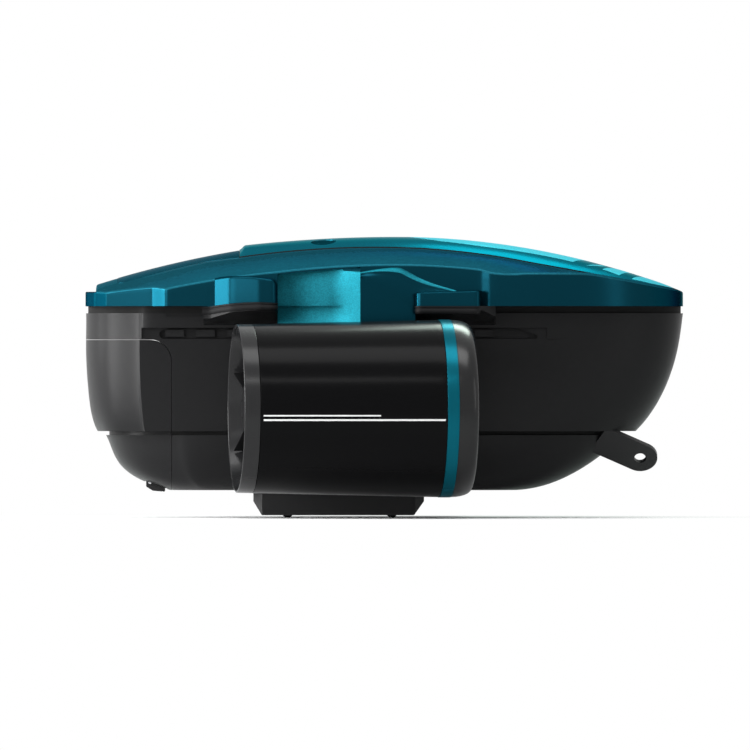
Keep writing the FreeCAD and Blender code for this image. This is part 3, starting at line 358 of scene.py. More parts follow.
toe = math.radians(6.32)
thruster_half, thruster_z = 170.0, 98.8
thruster_rear_x, thruster_front_x = -133.1, 78.2
shell_length, rear_radius, front_radius, throat_radius, outlet_bore = 182.3, 75.5, 79.5, 66.5, 70
rim_length = 14.1


def on_axis(s, across, up, side):
    """Point of a thruster piece set in place: turned by the toe-in about the vertical, moved to the outlet
    rim's middle, and mirrored for the port side."""
    shift = math.tan(toe) * (thruster_front_x - thruster_rear_x) / 2
    x = s * math.cos(toe) - across * math.sin(toe) + thruster_rear_x
    y = s * math.sin(toe) + across * math.cos(toe) - thruster_half - shift
    return np.stack([x, side * y, up + thruster_z], -1)


def turned(profile, side):
    """Surface of revolution: each (s, r) of a profile swept through a full turn a, to s along the axis,
    r cos a across and r sin a up."""
    steps = 168
    around = np.linspace(0, 2 * math.pi, steps + 1)
    s, r = profile[:, :1], profile[:, 1:2]
    return on_axis(s + 0 * around, r * np.cos(around), r * np.sin(around), side)


def shell_radius(s):
    """Outer radius of the duct: it widens evenly from the outlet rim to the teal band."""
    return rear_radius + (front_radius - rear_radius) * s / shell_length


def printed_line(rear_x, front_x, z, width, side):
    """Thin line on the duct's outboard side at a height: at each s its two edges lie at z plus and minus
    half the width, a hair outside the shell's radius."""
    ink = 0.06
    s = np.linspace(rear_x - thruster_rear_x, front_x - thruster_rear_x, 60)
    up = np.array([[z - width / 2], [z], [z + width / 2]]) - thruster_z
    reach = np.sqrt((shell_radius(s) + ink) ** 2 - up ** 2)
    s = s / math.cos(toe) + 0 * reach
    # the near side bulges by r sin(toe), so the line is shifted back along the axis by it
    return on_axis(s - reach * math.tan(toe), -reach, up + 0 * reach, side)


ring_grey = moulded("ring_grey", (0.014, 0.014, 0.0147), 0.22, 0.20, grain=2500.0, depth=0.01, spread=0.03)
gloss_black = moulded("gloss_black", (0.0022, 0.0022, 0.0025), 0.20, 0.05, grain=300.0, depth=0.012,
                      spread=0.1)
band_teal = moulded("band_teal", (0.003, 0.085, 0.120), 0.26, 0.05, grain=2500.0, depth=0.02, spread=0.10,
                    metal=0.55, edge=(0.3, 0.75, 0.8))
lip_black = moulded("lip_black", (0.0050, 0.0050, 0.0054), 0.22, 0.28, grain=300.0, depth=0.015, spread=0.1)
line_white = moulded("line_white", (0.80, 0.80, 0.80), 0.45, 0.3, grain=1500.0, spread=0.02)

outlet_line = softened([(0, 73, 0.9), (0, rear_radius, 0.9), (rim_length, shell_radius(rim_length), 0.3),
                        (rim_length, outlet_bore, 0)], step=3.0)
shell_line = softened([(14.5, outlet_bore, 0), (14.5, shell_radius(14.5), 0.4), (182.1, front_radius, 0.4),
                       (182.1, throat_radius, 0), (98.0, throat_radius, 40), (72.0, outlet_bore, 40)],
                      step=6.0)
band_line = softened([(shell_length, throat_radius, 0), (shell_length, 79.8, 0.3), (192.7, 79.8, 0.3),
                      (192.7, throat_radius, 0)], step=3.0)
lip_s, lip_middle = 192.9, 71.5
sweep = np.linspace(0, math.pi / 2, 15)
lip_line = np.concatenate([
    np.stack([lip_s + 18.2 * np.sin(sweep), lip_middle + 8.0 * np.cos(sweep) ** 0.8], -1),
    np.stack([211.1 - 12.4 * (1 - np.cos(sweep[1:])), lip_middle - 5.0 * np.sin(sweep[1:])], -1),
    [[lip_s, throat_radius], [lip_s, front_radius]]])
for side, name in ((1, "right"), (-1, "left")):
    middle = on_axis(100.0, 0.0, 0.0, side)
    skin("outlet_rim_" + name, [(turned(outlet_line, side), 0, middle)], [ring_grey], "hull",
         ("outlet_ring_" + name,), closed=True)
    skin("duct_tube_" + name, [(turned(shell_line, side), 0, middle)], [gloss_black], "hull",
         ("duct_shell_" + name,), closed=True)
    skin("teal_band_" + name, [(turned(band_line, side), 0, middle)], [band_teal], "hull",
         ("accent_ring_" + name,), closed=True)
    skin("nose_lip_" + name, [(turned(lip_line, side), 0, middle)], [lip_black], "hull",
         ("intake_lip_" + name,), closed=True)
    skin("white_lines_" + name, [(printed_line(-108.0, -3.2, 92.5, 1.3, side), 0, middle),
                                 (printed_line(-108.0, 54.7, 88.6, 1.6, side), 0, middle)],
         [line_white], "hull")

# The stators: in each duct a ring, six vanes and a hub that carries the motor, moulded in one in a satin
# black.
stator_black = moulded("stator_black", (0.007, 0.007, 0.0074), 0.34, 0.10, grain=1200.0, depth=0.08,
                       spread=0.08)
dress(stator_black, "stator_left", "stator_right")

# The motors: wound copper stators, magnet rotors and ground steel shafts on ball bearings, seated in the
# hub behind a cast aluminium cap.
copper = moulded("copper", (0.52, 0.24, 0.09), 0.38, 0.5, grain=900.0, depth=0.8, metal=1.0,
                 stretch=(0.12, 1, 1))
magnet_steel = moulded("magnet_steel", (0.36, 0.36, 0.38), 0.35, 0.5, metal=1.0, stretch=(0.08, 1, 1),
                       spread=0.08)
shaft_steel = moulded("shaft_steel", (0.55, 0.55, 0.57), 0.2, 0.5, metal=1.0, stretch=(1, 0.1, 0.1),
                      spread=0.05)
race_steel = moulded("race_steel", (0.48, 0.48, 0.50), 0.24, 0.5, metal=1.0, stretch=(1, 0.1, 0.1),
                     spread=0.05)
cap_metal = moulded("cap_metal", (0.30, 0.30, 0.31), 0.40, 0.5, grain=1000.0, depth=0.25, metal=1.0)
dress(copper, "motor_windings_left", "motor_windings_right")
dress(magnet_steel, "motor_rotor_left", "motor_rotor_right")
dress(shaft_steel, "propeller_shaft_left", "propeller_shaft_right")
dress(race_steel, "rear_bearing_left", "rear_bearing_right", "front_bearing_left", "front_bearing_right")
dress(cap_metal, "motor_cap_left", "motor_cap_right")

# The propellers: four twisted blades and a hub moulded in one in glass-filled nylon, with a spinner
# screwed on ahead of them.
blade_nylon = moulded("blade_nylon", (0.020, 0.021, 0.022), 0.38, 0.3, grain=1600.0, depth=0.15,
                      stretch=(1, 1, 0.2))
spinner_black = moulded("spinner_black", (0.010, 0.010, 0.0105), 0.22, 0.35, grain=500.0, depth=0.03)
dress(blade_nylon, "propeller_left", "propeller_right")
dress(spinner_black, "spinner_left", "spinner_right")

# The intake guards: flat grilles of two rings, a middle disc and eight spokes, moulded in black nylon and
# snapped into the throat ahead of the propeller.
guard_black = moulded("guard_black", (0.010, 0.010, 0.0105), 0.45, 0.25, grain=1400.0)
dress(guard_black, "intake_guard_left", "intake_guard_right")

# The deck: one moulded cover in teal metallic lacquer, screwed to the hull from inside. It is crowned both
# ways, steps out to a lobe at each side of the stern, is cut back to a hand notch ahead of it, and runs down
# a ramp to a low shelf beside each intake. The pylons that carry the ducts are moulded on under it.
def lacquered(name, colour, roughness, metal, flake, edge):
    """Metallic lacquer: its colour drifts a little over the piece, a fine cell pattern in millimetres gives
    each flake its own brightness, and a slow noise leaves a faint waviness in its surface."""
    material = bpy.data.materials.new(name)
    material.use_nodes = True
    tree = material.node_tree
    where = add_node(tree, "ShaderNodeTexCoord", {}).outputs["Object"]
    cells = add_node(tree, "ShaderNodeTexVoronoi", {"Scale": 1500.0, "Vector": where})
    shade = add_node(tree, "ShaderNodeSeparateColor", {"Color": cells.outputs["Color"]})
    drift = add_node(tree, "ShaderNodeTexNoise", {"Scale": 9.0, "Detail": 3.0, "Vector": where})
    bright = add_node(tree, "ShaderNodeMapRange",
                      {"To Min": 1.0 - flake, "To Max": 1.0 + flake, "Value": shade.outputs["Red"]})
    slow = add_node(tree, "ShaderNodeMapRange",
                    {"To Min": 0.92, "To Max": 1.08, "Value": drift.outputs["Fac"]})
    both = add_node(tree, "ShaderNodeMath", {0: bright.outputs["Result"], 1: slow.outputs["Result"]},
                    operation="MULTIPLY")
    paint = add_node(tree, "ShaderNodeVectorMath", {0: colour}, operation="SCALE")
    feed(tree, paint, {"Scale": both.outputs[0]})
    rough = add_node(tree, "ShaderNodeMapRange",
                     {"To Min": roughness * (1 - flake), "To Max": roughness * (1 + flake),
                      "Value": shade.outputs["Green"]})
    wave = add_node(tree, "ShaderNodeTexNoise", {"Scale": 220.0, "Vector": where})
    lift = add_node(tree, "ShaderNodeBump",
                    {"Strength": 0.03, "Distance": 0.0006, "Height": wave.outputs["Fac"]})
    feed(tree, tree.nodes["Principled BSDF"], {
        "Base Color": paint.outputs["Vector"], "Metallic": metal, "Roughness": rough.outputs["Result"],
        "Specular IOR Level": 0.0, "Specular Tint": (*edge, 1), "Normal": lift.outputs["Normal"]})
    return material


apex_x, under_z = 9.5, 191.0
bow_x, bow_reach, bow_half = 96.0, 174.0, 111.0
side_half, corner_x = 107.0, -251.0
lobe_end_x, crease_x, crease_half, shelf_rear_x = -96.3, -21.8, 123.0, 27.6
panel_bow_x, panel_reach, panel_half, panel_rear_half = 131.0, 133.0, 76.0, 57.0
top_mark, shaded_skirt_mark, painted_light_mark = 0, 1, 2


def deck_height(x, y):
    """Height of the deck's top: it falls with the square of the distance from its apex, more steeply ahead
    of it than behind, and to both sides."""
    fall = np.where(x < apex_x, 0.00058, 0.00073)
    return 252.8 - fall * (x - apex_x) ** 2 - 0.00212 * y ** 2


def lower_of(a, b, width):
    """Lower of two heights, with a soft corner of a width where they cross."""
    return 0.5 * (a + b - np.sqrt((a - b) ** 2 + width ** 2))


def half_ellipse(centre, reach, half):
    """Half an ellipse from one side round its tip to the other side, at even turns of its angle."""
    steps = 72
    angle = np.linspace(math.pi / 2, -math.pi / 2, steps + 1)
    return np.stack([centre + reach * np.cos(angle), half * np.sin(angle)], -1)


def outward(line, closed=True):
    """Unit normals of a plan line, a right angle from the run through each point's neighbours."""
    if closed:
        ahead = np.roll(line[:-1], -1, axis=0) - np.roll(line[:-1], 1, axis=0)
        ahead = np.concatenate([ahead, ahead[:1]])
    else:
        ahead = np.gradient(line, axis=0)
    ahead = ahead / np.linalg.norm(ahead, axis=1, keepdims=True)
    return np.stack([ahead[:, 1], -ahead[:, 0]], -1)


def seam_line(plan):
    """Point of the panels' edge for each point of the deck's plan: on the bow at the same turn of its half
    ellipse, along the sides at an even share of the length, and across the stern at an even share."""
    deck_run, panel_run, rear_x, flat_half = 347.0, 367.0, -241, 38
    x, y = plan[:, 0], np.abs(plan[:, 1])
    turn = np.arctan2(y / bow_half, (x - bow_x) / bow_reach)
    side_x = panel_bow_x - (bow_x - x) * panel_run / deck_run
    width = np.interp(side_x, [rear_x, -170, -160, -131, 131], [52, 47.6, 48.4, 57, 76])
    corner = np.clip((y - flat_half) / 30.0, 0, 1)
    stern = np.minimum(y, flat_half) * 46 / flat_half + 5.65 * corner
    on_bow, on_side = x > bow_x, x >= corner_x
    along = np.where(on_bow, panel_bow_x + panel_reach * np.cos(turn),
                     np.where(on_side, side_x, rear_x + 5 * corner))
    across = np.where(on_bow, panel_half * np.sin(turn), np.where(on_side, width, stern))
    return np.stack([along, across * np.sign(plan[:, 1])], -1)


def heighted(line, height):
    """Plan points lifted to a height, one for all or one for each."""
    return np.concatenate([line, np.broadcast_to(np.asarray(height, float), line.shape[:1])[:, None]], 1)


def between(low, high, rows):
    """Even rows of points from one line of points to another."""
    share = np.linspace(0, 1, rows)[:, None, None]
    return low * (1 - share) + high * share


def line_of(x, y, z):
    """Line of points from arrays or single values."""
    return np.stack(np.broadcast_arrays(np.asarray(x, float), y, z), -1)


def rounded(line, out, radius, count, height):
    """Rows of points over a top edge: at each turn t of a quarter circle they lie in from the line by the
    radius times one less cos t, and under the height there by the radius times one less sin t."""
    rows = []
    for turn in np.linspace(0, math.pi / 2, count):
        moved = line - out * radius * (1 - math.cos(turn))
        rows.append(heighted(moved, height(moved) - radius * (1 - math.sin(turn))))
    return rows


def mirrored(patches):
    """The same patches on the other side of the boat."""
    return [(patch * (1, -1, 1), mark, behind * (1, -1, 1)) for patch, mark, behind in patches]


stern_side = [(bow_x, bow_half, 0), (86.0, side_half, 0), (shelf_rear_x, side_half, 0),
              (crease_x, side_half, 0), (lobe_end_x, side_half, 0), (-197.0, 100, 6), (-209.0, 89, 8),
              (corner_x, 68, 1), (-260.5, 54, 0.5), (-260.5, 0, 0)]
port_side = softened(stern_side, closed=False)
bow_line = half_ellipse(bow_x, bow_reach, bow_half)
plan = np.concatenate([port_side, (port_side * (1, -1))[::-1][1:], bow_line[::-1][1:]])
normals = outward(plan)
seam = seam_line(plan)
deck_core = np.array([0.0, 0.0, 100.0])
plan_x = plan[:, 0]
panel_edge = (253.0 - 0.00072 * (plan_x - apex_x) ** 2
              - 12.25 * np.clip(1 - ((plan_x - panel_bow_x) / panel_reach) ** 2, 0, 1))
bow_edge = lower_of(220.6 + 0 * plan_x, panel_edge, 1.0)
bow_lift = np.clip((plan_x - bow_x) / 30, 0, 1) * (bow_edge - deck_height(plan_x, plan[:, 1]))
bow_lift = np.where(plan_x > bow_x, bow_lift, 0)
swell = 3.4 * np.clip((plan_x + 235) / 60, 0, 1) * np.clip((200 - plan_x) / 80, 0, 1)


def band_height(line, share):
    """Height of the band between the deck's edge and the panels' edge: the crown, raised at the bow so that
    the skirt's top runs level and then along the panel, and swollen a little midway."""
    return deck_height(line[:, 0], line[:, 1]) + bow_lift * (1 - share) ** 2 + 4 * swell * share * (1 - share)


deck_edge = 1.6
rows = rounded(plan, normals, deck_edge, 5, lambda line: band_height(line, 0.0))
for share in np.linspace(0, 1, 16)[1:]:
    line = (plan - normals * deck_edge) * (1 - share) + seam * share
    rows.append(heighted(line, band_height(line, share)))
rows.append(heighted(seam, deck_height(seam[:, 0], seam[:, 1]) - 4.0))
underside = np.stack([heighted(plan, under_z), heighted(seam * 0.9, under_z)])
deck_patches = [(np.stack(rows), top_mark, deck_core), (underside, shaded_skirt_mark, np.array([0.0, 0.0, 400.0]))]

# skirt, in runs: it goes down to the underside except over the hand notches, where it is a narrow lip
in_notch = (plan_x > lobe_end_x - 0.2) & (plan_x < crease_x + 0.2) & (np.abs(plan[:, 1]) > side_half - 0.5)
start = 0
while start < len(plan) - 1:
    end = start
    notched = in_notch[start] and in_notch[start + 1]
    while end < len(plan) - 1 and (in_notch[end] and in_notch[end + 1]) == notched:
        end += 1
    run = slice(start, end + 1)
    top = band_height(plan, 0.0)[run] - deck_edge
    foot = top - 1.4 if notched else under_z
    deck_patches.append((between(heighted(plan[run], foot), heighted(plan[run], top), 2 if notched else 6),
                         shaded_skirt_mark, deck_core))
    start = end


def notch_wall(x):
    """Half width of the notch's wall: it sweeps outwards from the stern end to the crease with a power of
    the length."""
    return 86.0 + 37.0 * ((x - lobe_end_x) / 74.5) ** 2.6


def ledge_height(y):
    """Height of the narrow ledge over the notch's wall: it falls a little towards the crease."""
    return 221.0 + 0.1 * (crease_half - y)


def flank_top(x):
    """Height of the pylon's upper edge: it rises from the crease with a slowing curve and then falls along
    the ramp's straight slope, whichever is lower."""
    rise = 221.0 + 4.6 * np.sin(np.clip((x - crease_x) / 40, 0, 1) * math.pi / 2)
    return lower_of(rise, 225.4 - 0.402 * (x - 14.6), 0.6)


def flank_half(x):
    """Half width of the pylon's upper edge: it closes in from the crease to the skirt, faster at first."""
    return 108.0 + 13.5 * (1 - np.clip((x - crease_x) / 90, 0, 1)) ** 2.2


def face_half(x):
    """Half width of the pylon's flat outboard face: it closes in evenly from the crease to the shelf."""
    return crease_half - (x - crease_x) * 11.0 / 49.4


def fold_height(x):
    """Height of the fold where the pylon's flat face meets the leaning flank: it falls evenly."""
    return 215.8 - 0.552 * (x + 20.5)


def under_pylon(x, y):
    """Lowest height of the pylon: the duct's skin where it lies over the duct, else the pylon's flat foot."""
    s = (x - thruster_rear_x) / math.cos(toe)
    centre = thruster_half - (x + 27.4) * math.tan(toe)
    over = (shell_radius(s) - 2.0) ** 2 - (y - centre) ** 2
    return np.maximum(140.0, np.where(over > 0, thruster_z + np.sqrt(np.maximum(over, 0)), 0))


def lobe_top(x):
    """Height of the lobe's top along the boat: it falls with the square of the distance from its apex, and
    once more towards its rounded front end."""
    return 218.0 - np.where(x < -134, 0.0056, 0.00256) * (x + 134) ** 2 - 0.12 * np.maximum(x + 102.5, 0) ** 2


wall_x = np.linspace(lobe_end_x, crease_x, 50)
wall_y = notch_wall(wall_x)
face_x = np.linspace(crease_x, shelf_rear_x, 40)
face_y = face_half(face_x)
behind_wall = np.array([-60.0, 40.0, 180.0])
above = np.array([0.0, 100.0, 400.0])
shelf = softened([(shelf_rear_x, 103, 0), (shelf_rear_x, 122, 6), (86.2, 122, 5), (86.2, 103, 0)], step=2.0,
                 closed=False)
shelf_out = -outward(shelf, closed=False)
lobe = softened([(lobe_end_x, 100, 0), (lobe_end_x, 119.5, 7), (-112.0, 120, 12), (-138.0, 114, 14),
                 (-157.5, 99.5, 8), (-164.0, 99.0, 0)], step=2.0, closed=False)
lobe_out = outward(lobe, closed=False)

# hand notch: its wall from the pylon's foot up to the deck's lip, and the surfaces above and below it
ledge_y = 105.0
past = wall_x[wall_y > 104.5]
ledge = line_of(past, ledge_y, 222.6)
wall_foot = line_of(wall_x, wall_y, under_pylon(wall_x, wall_y))
wall_top = np.where(wall_y > 106.0, ledge_height(wall_y), deck_height(wall_x, wall_y) - 2.5)
# the notch's wall and ledge take a lighter copy of the deck's lacquer: painted light
side_patches = [
    (between(wall_foot, line_of(wall_x, wall_y, wall_top), 14), painted_light_mark, behind_wall),
    (between(ledge, line_of(past, notch_wall(past), ledge_height(notch_wall(past))), 6), painted_light_mark,
     deck_core),
    (between(ledge, line_of(past, ledge_y, deck_height(past, ledge_y) - 2.0), 2), top_mark, behind_wall),
    (between(line_of(wall_x, 85.0, deck_height(wall_x, 85.0) - 3.0),
             line_of(wall_x, side_half, deck_height(wall_x, side_half) - 3.0), 6), top_mark, above)]

# pylon: its flat outboard face, the leaning flank above it that runs on over the shelf, and its edge, which
# from the second row of its curve upwards takes the notch's lacquer, made lighter as painted light
shelf_skin, corner_row, pylon_inner = 189.25, 10, 83.0
flank_x = np.concatenate([face_x, np.linspace(shelf_rear_x, 66.7, 30)[1:]])
top_z, top_half = flank_top(flank_x), flank_half(flank_x)
on_shelf = flank_x > shelf_rear_x
foot_z = np.where(on_shelf, shelf_skin, fold_height(flank_x))
lean = np.clip((flank_x - shelf_rear_x) / 24.0, 0, 1)
lean = 0.055 + 0.165 * lean ** 2 * (3 - 2 * lean)
foot_half = np.where(on_shelf, top_half + (top_z - shelf_skin) * lean, face_half(flank_x))
edge_round = 1.0 + 9.0 * np.exp(-((flank_x - 30.0) / 28.0) ** 2)
rows = []
for share in np.linspace(0, 1, 9):
    half = foot_half * (1 - share) + top_half * share + 1.2 * math.sin(math.pi * share)
    rows.append(line_of(flank_x, half, foot_z * (1 - share) + (top_z - edge_round) * share))
for turn in np.linspace(0, math.pi / 2, 9)[1:]:
    rows.append(line_of(flank_x, top_half - edge_round * 0.8 * (1 - math.cos(turn)),
                        top_z - edge_round * (1 - math.sin(turn))))
rows.append(line_of(flank_x, ledge_y, top_z + 0.6))
side_patches += [(np.stack(rows[:corner_row + 1]), shaded_skirt_mark, deck_core),
                 (np.stack(rows[corner_row:]), painted_light_mark, deck_core)]
side_patches.append((between(line_of(face_x, face_y, under_pylon(face_x, face_y)),
                             line_of(face_x, face_y, fold_height(face_x)), 14), shaded_skirt_mark, behind_wall))
foot_x = np.concatenate([wall_x, face_x[1:]])
foot_y = np.concatenate([wall_y, face_y[1:]])
share = np.linspace(0, 1, 14)[:, None]
x, y = foot_x + 0 * share, pylon_inner + (foot_y - pylon_inner) * share
side_patches.append((np.stack([x, y, under_pylon(x, y)], -1), shaded_skirt_mark, above))
side_patches.append((between(line_of(foot_x, pylon_inner, under_pylon(foot_x, pylon_inner)),
                             line_of(foot_x, pylon_inner, under_z), 2), shaded_skirt_mark,
                     np.array([0.0, 200.0, 150.0])))
end_y = np.linspace(pylon_inner, 112.0, 12)
side_patches.append((between(line_of(shelf_rear_x, end_y, under_pylon(shelf_rear_x, end_y)),
                             line_of(shelf_rear_x, end_y, 192.0), 2), shaded_skirt_mark, deck_core))

# front shelf, its top rising a little towards the bow
shelf_top = 203.0 + 0.028 * (shelf[:, 0] - shelf_rear_x)
rows = [heighted(shelf, under_z)] + rounded(shelf, shelf_out, 1.2, 5, lambda line: shelf_top)
shelf_back = np.stack([np.clip(shelf[:, 0], 29.0, 85.0), np.full(len(shelf), 104.0)], -1)
rows.append(heighted(shelf_back, shelf_top + 0.6))
side_patches.append((np.stack(rows), shaded_skirt_mark, deck_core))
side_patches.append((between(heighted(shelf, under_z), line_of(shelf[:, 0], 95.0, under_z), 2), shaded_skirt_mark,
                     above))

# rear lobe, its lower edge arched over the black lip
lobe_edge, lip_back = 2.6, 96.0
low = np.interp(lobe[:, 0], [-157, -147, -136, -125, -113, -100], [190.6, 192.2, 193.5, 194.3, 194.6, 194.0])
rows = [heighted(lobe, low)] + rounded(lobe, lobe_out, lobe_edge, 6, lambda line: lobe_top(line[:, 0]))
for share in (0.35, 0.7, 1.0):
    inner = np.stack([lobe[:, 0], 0 * lobe[:, 0] + lip_back], -1)
    line = (lobe - lobe_out * lobe_edge) * (1 - share) + inner * share
    rows.append(heighted(line, lobe_top(line[:, 0])))
side_patches.append((np.stack(rows), shaded_skirt_mark, deck_core))
side_patches.append((between(heighted(lobe, low), line_of(lobe[:, 0], 85.0, low), 3), shaded_skirt_mark, above))
deck_patches += side_patches + mirrored(side_patches)

# black lips under the lobes and shelves, each with a shallow groove along it
lip_section = ((0.2, 1.5), (0.2, -0.5), (1.4, -0.5), (1.9, 0.1), (2.6, 0.1), (3.1, -0.4), (6.4, -0.2),
               (7.4, 1.0))
lip_patches = []
for line, out, top in ((lobe, lobe_out, low), (shelf, shelf_out, under_z + 0 * shelf[:, 0])):
    rows = [heighted(line - out * inset, top - depth) for depth, inset in lip_section]
    rows.append(line_of(line[:, 0], lip_back, top - lip_section[-1][0]))
    lip_patches.append((np.stack(rows), 0, np.array([line[:, 0].mean(), 90.0, 188.0])))
rubber_black = moulded("rubber_black", (0.009, 0.009, 0.0095), 0.55, 0.10, grain=1200.0, depth=0.2)
skin("black_lips", lip_patches + mirrored(lip_patches), [rubber_black], "hull", sharp=50)

# tail block, a step lower behind the deck
block_front_x, block_top = -259.5, 204.0
block = softened([(block_front_x, 55, 0), (-262.0, 52, 3), (-270.0, 38, 8), (-270.0, -38, 8),
                  (-262.0, -52, 3), (block_front_x, -55, 0)], step=3.0, closed=False)
block_out = outward(block, closed=False)
block_out *= np.sign(((block - (-200, 0)) * block_out).sum())
rows = [line_of(block_front_x, block[:, 1], under_z), heighted(block, under_z)]
rows += rounded(block, block_out, 1.0, 4, lambda line: block_top)
rows.append(line_of(block_front_x, block[:, 1], block_top))
deck_patches.append((np.stack(rows), shaded_skirt_mark, np.array([-255.0, 0.0, 197.0])))

deck_teal = lacquered("deck_teal", (0.008, 0.078, 0.110), 0.36, 0.55, 0.20, (0.0, 0.10, 0.12))
# the skirt's copy is smoother and glossier, and its darker base is painted shade on the side faces
skirt_teal_painted_shade = lacquered("skirt_teal_painted_shade", (0.0025, 0.032, 0.048), 0.24, 0.72, 0.02, (0.05, 0.3, 0.32))
# the notch's copy is the deck's lacquer made lighter: painted light on the notch wall and the pylon's edge
notch_teal_painted_light = lacquered("notch_teal_painted_light", (0.012, 0.17, 0.22), 0.48, 0.60, 0.20, (0.05, 0.3, 0.32))
skin("teal_deck", deck_patches, [deck_teal, skirt_teal_painted_shade, notch_teal_painted_light], "hull",
     ("deck_cover", "pylon_left", "pylon_right"), sharp=32)


# The crown panel and the tail panel: smooth glossy lids in the same teal without flake, clipped into the
# deck's recess. The crown stands a little proud and runs down to about a millimetre over the deck at its
# edge, along a thin black seal. Pale inlays are set into its front half.
def panel_side(x):
    """Half width of the crown's recess along its straight sides: it widens evenly from the rear end to the
    bow's half ellipse."""
    return panel_rear_half + (panel_half - panel_rear_half) * (x + panel_bow_x) / (2 * panel_bow_x)


edge_gap = 0.3
lid_reach, lid_half, lid_rear_half = panel_reach - edge_gap, panel_half - edge_gap, panel_rear_half - edge_gap
lid_rear_x = edge_gap - panel_bow_x


def crown_height(x, y):
    """Height of the crown panel: it falls with the square of the distance from its apex along the boat, and
    to each side with the cube of the distance so that it meets the deck's own fall at its edge. It comes
    down to 1.1 mm over the deck at its sides and its rear end by smooth steps."""
    tip = panel_half * np.sqrt(np.maximum(1 - ((x - panel_bow_x) / panel_reach) ** 2, 0.001))
    half = np.where(x < panel_bow_x, panel_side(x), tip)
    fall = np.where(x < apex_x, 0.00041, 0.00072)
    full = 253.8 - fall * (x - apex_x) ** 2 - 0.00212 * np.abs(y) ** 3 / half
    ring = np.sqrt((np.maximum(x - panel_bow_x, 0) / panel_reach) ** 2 + (y / panel_half) ** 2)
    inside = np.where(x < panel_bow_x, half - np.abs(y), panel_half * (1 - ring))
    sides = np.clip(inside / (6.0 + 8.0 * np.clip((-20 - x) / 110, 0, 1)), 0, 1)
    rear = np.clip((x - lid_rear_x) / 5.0, 0, 1)
    kept = sides ** 2 * (3 - 2 * sides) * rear ** 2 * (3 - 2 * rear)
    return deck_height(x, y) + (full - deck_height(x, y)) * kept + 1.1 * (1 - kept)


panel_front = half_ellipse(panel_bow_x, lid_reach, lid_half)
panel_sides = softened([(lid_rear_x, -lid_rear_half, 0), (panel_bow_x, -lid_half, 0)], closed=False)
panel_rear = softened([(lid_rear_x, lid_rear_half, 0), (lid_rear_x, -lid_rear_half, 0)], closed=False)
panel_line = np.concatenate([panel_front[:-1], panel_sides[::-1][:-1], panel_rear[::-1][:-1],
                             (panel_sides * (1, -1))[:-1]])

# each button: its name, its body, the CAD piece it replaces, its place and its radius
button_gap = 0.3
buttons = (("power_cap", "power_button", "power_button", -100.0, 0.0, 9.0),
           ("thumb_cap_right", "throttle_right", "throttle_button_right", -55.0, -44.0, 11.0),
           ("thumb_cap_left", "throttle_left", "throttle_button_left", -55.0, 44.0, 11.0))
wells = [(x, y, radius + button_gap) for name, body, replaced, x, y, radius in buttons]
around = np.linspace(0, 2 * math.pi, 49)[:-1]
lid_rings = [panel_line]
for x, y, radius in wells:
    lid_rings.append(np.stack([x + radius * np.cos(around), y + radius * np.sin(around)], -1))
tip_line = [(x, lid_half * math.sqrt(1 - ((x - panel_bow_x) / lid_reach) ** 2) - 2.5)
            for x in np.linspace(240, 261, 8)]
patch_lines = [[(20, 8), (24, 26), (50, 46), (90, 54), (170, 52.8), (186, 8)],
               [(182, 54.5), (196, 38), (201, 23), (189, 41)],
               [(196.5, 51), (211.6, 53.8), (226, 8), (213, 8)],
               [(223, 51)] + tip_line + [(238, 8)]]
patch_rings = []
for corners in patch_lines:
    ring = softened([(x, y, 40.0 if 20 < x < 100 else 0.0) for x, y in corners])[:-1]
    patch_rings += [ring, ring * (1, -1)]
loops, first = [], 0
for ring in lid_rings + patch_rings:
    loops += [(first + i, first + (i + 1) % len(ring)) for i in range(len(ring))]
    first += len(ring)


def in_panel(points, margin):
    """Whether points lie on the panel, a margin away from its edge and from the button wells."""
    x, y = points[:, 0], np.abs(points[:, 1])
    ahead = np.maximum(x - panel_bow_x, 0) / (lid_reach - margin)
    ring = np.sqrt(ahead ** 2 + (y / (lid_half - margin)) ** 2)
    on_sides = (y < panel_side(x) - edge_gap - margin) & (x > lid_rear_x + margin)
    inside = np.where(x < panel_bow_x, on_sides, ring < 1)
    for well_x, well_y, radius in wells:
        inside &= np.hypot(x - well_x, points[:, 1] - well_y) > radius + margin
    return inside


# the lid as triangles: a grid of points, closer together at the rear end, between the outlines
dense_x = -125
spots = np.stack(np.meshgrid(np.arange(-129.5, 264, 4.5), np.arange(-76.5, 77, 4.5)), -1).reshape(-1, 2)
near_rear = np.stack(np.meshgrid(np.arange(-129.9, dense_x, 1.0), np.arange(-56, 57, 4.0)), -1).reshape(-1, 2)
spots = np.concatenate([spots[spots[:, 0] > dense_x], near_rear])
spots = spots[in_panel(spots, 0.6)]
plan_points = np.concatenate(lid_rings + patch_rings + [spots])
made = delaunay_2d_cdt([Vector(point) for point in plan_points.tolist()], loops, [], 0, 0.0001)
flat_points = np.array([point[:] for point in made[0]])
cells = np.array(made[2])
cells = cells[in_panel(flat_points[cells].mean(axis=1), 0.0)]
panel_points = heighted(flat_points, crown_height(flat_points[:, 0], flat_points[:, 1]))

# a triangle is pale if a line from its middle crosses an inlay's outline an odd number of times
middles = flat_points[cells].mean(axis=1)
pale = np.zeros(len(cells), bool)
for ring in patch_rings:
    ahead = np.roll(ring, -1, axis=0)
    over = (ring[:, 1] > middles[:, 1:]) != (ahead[:, 1] > middles[:, 1:])
    rise = np.where(ahead[:, 1] == ring[:, 1], 1.0, ahead[:, 1] - ring[:, 1])
    reach = ring[:, 0] + (middles[:, 1:] - ring[:, 1]) * (ahead[:, 0] - ring[:, 0]) / rise
    pale |= (over & (middles[:, :1] < reach)).sum(axis=1) % 2 == 1


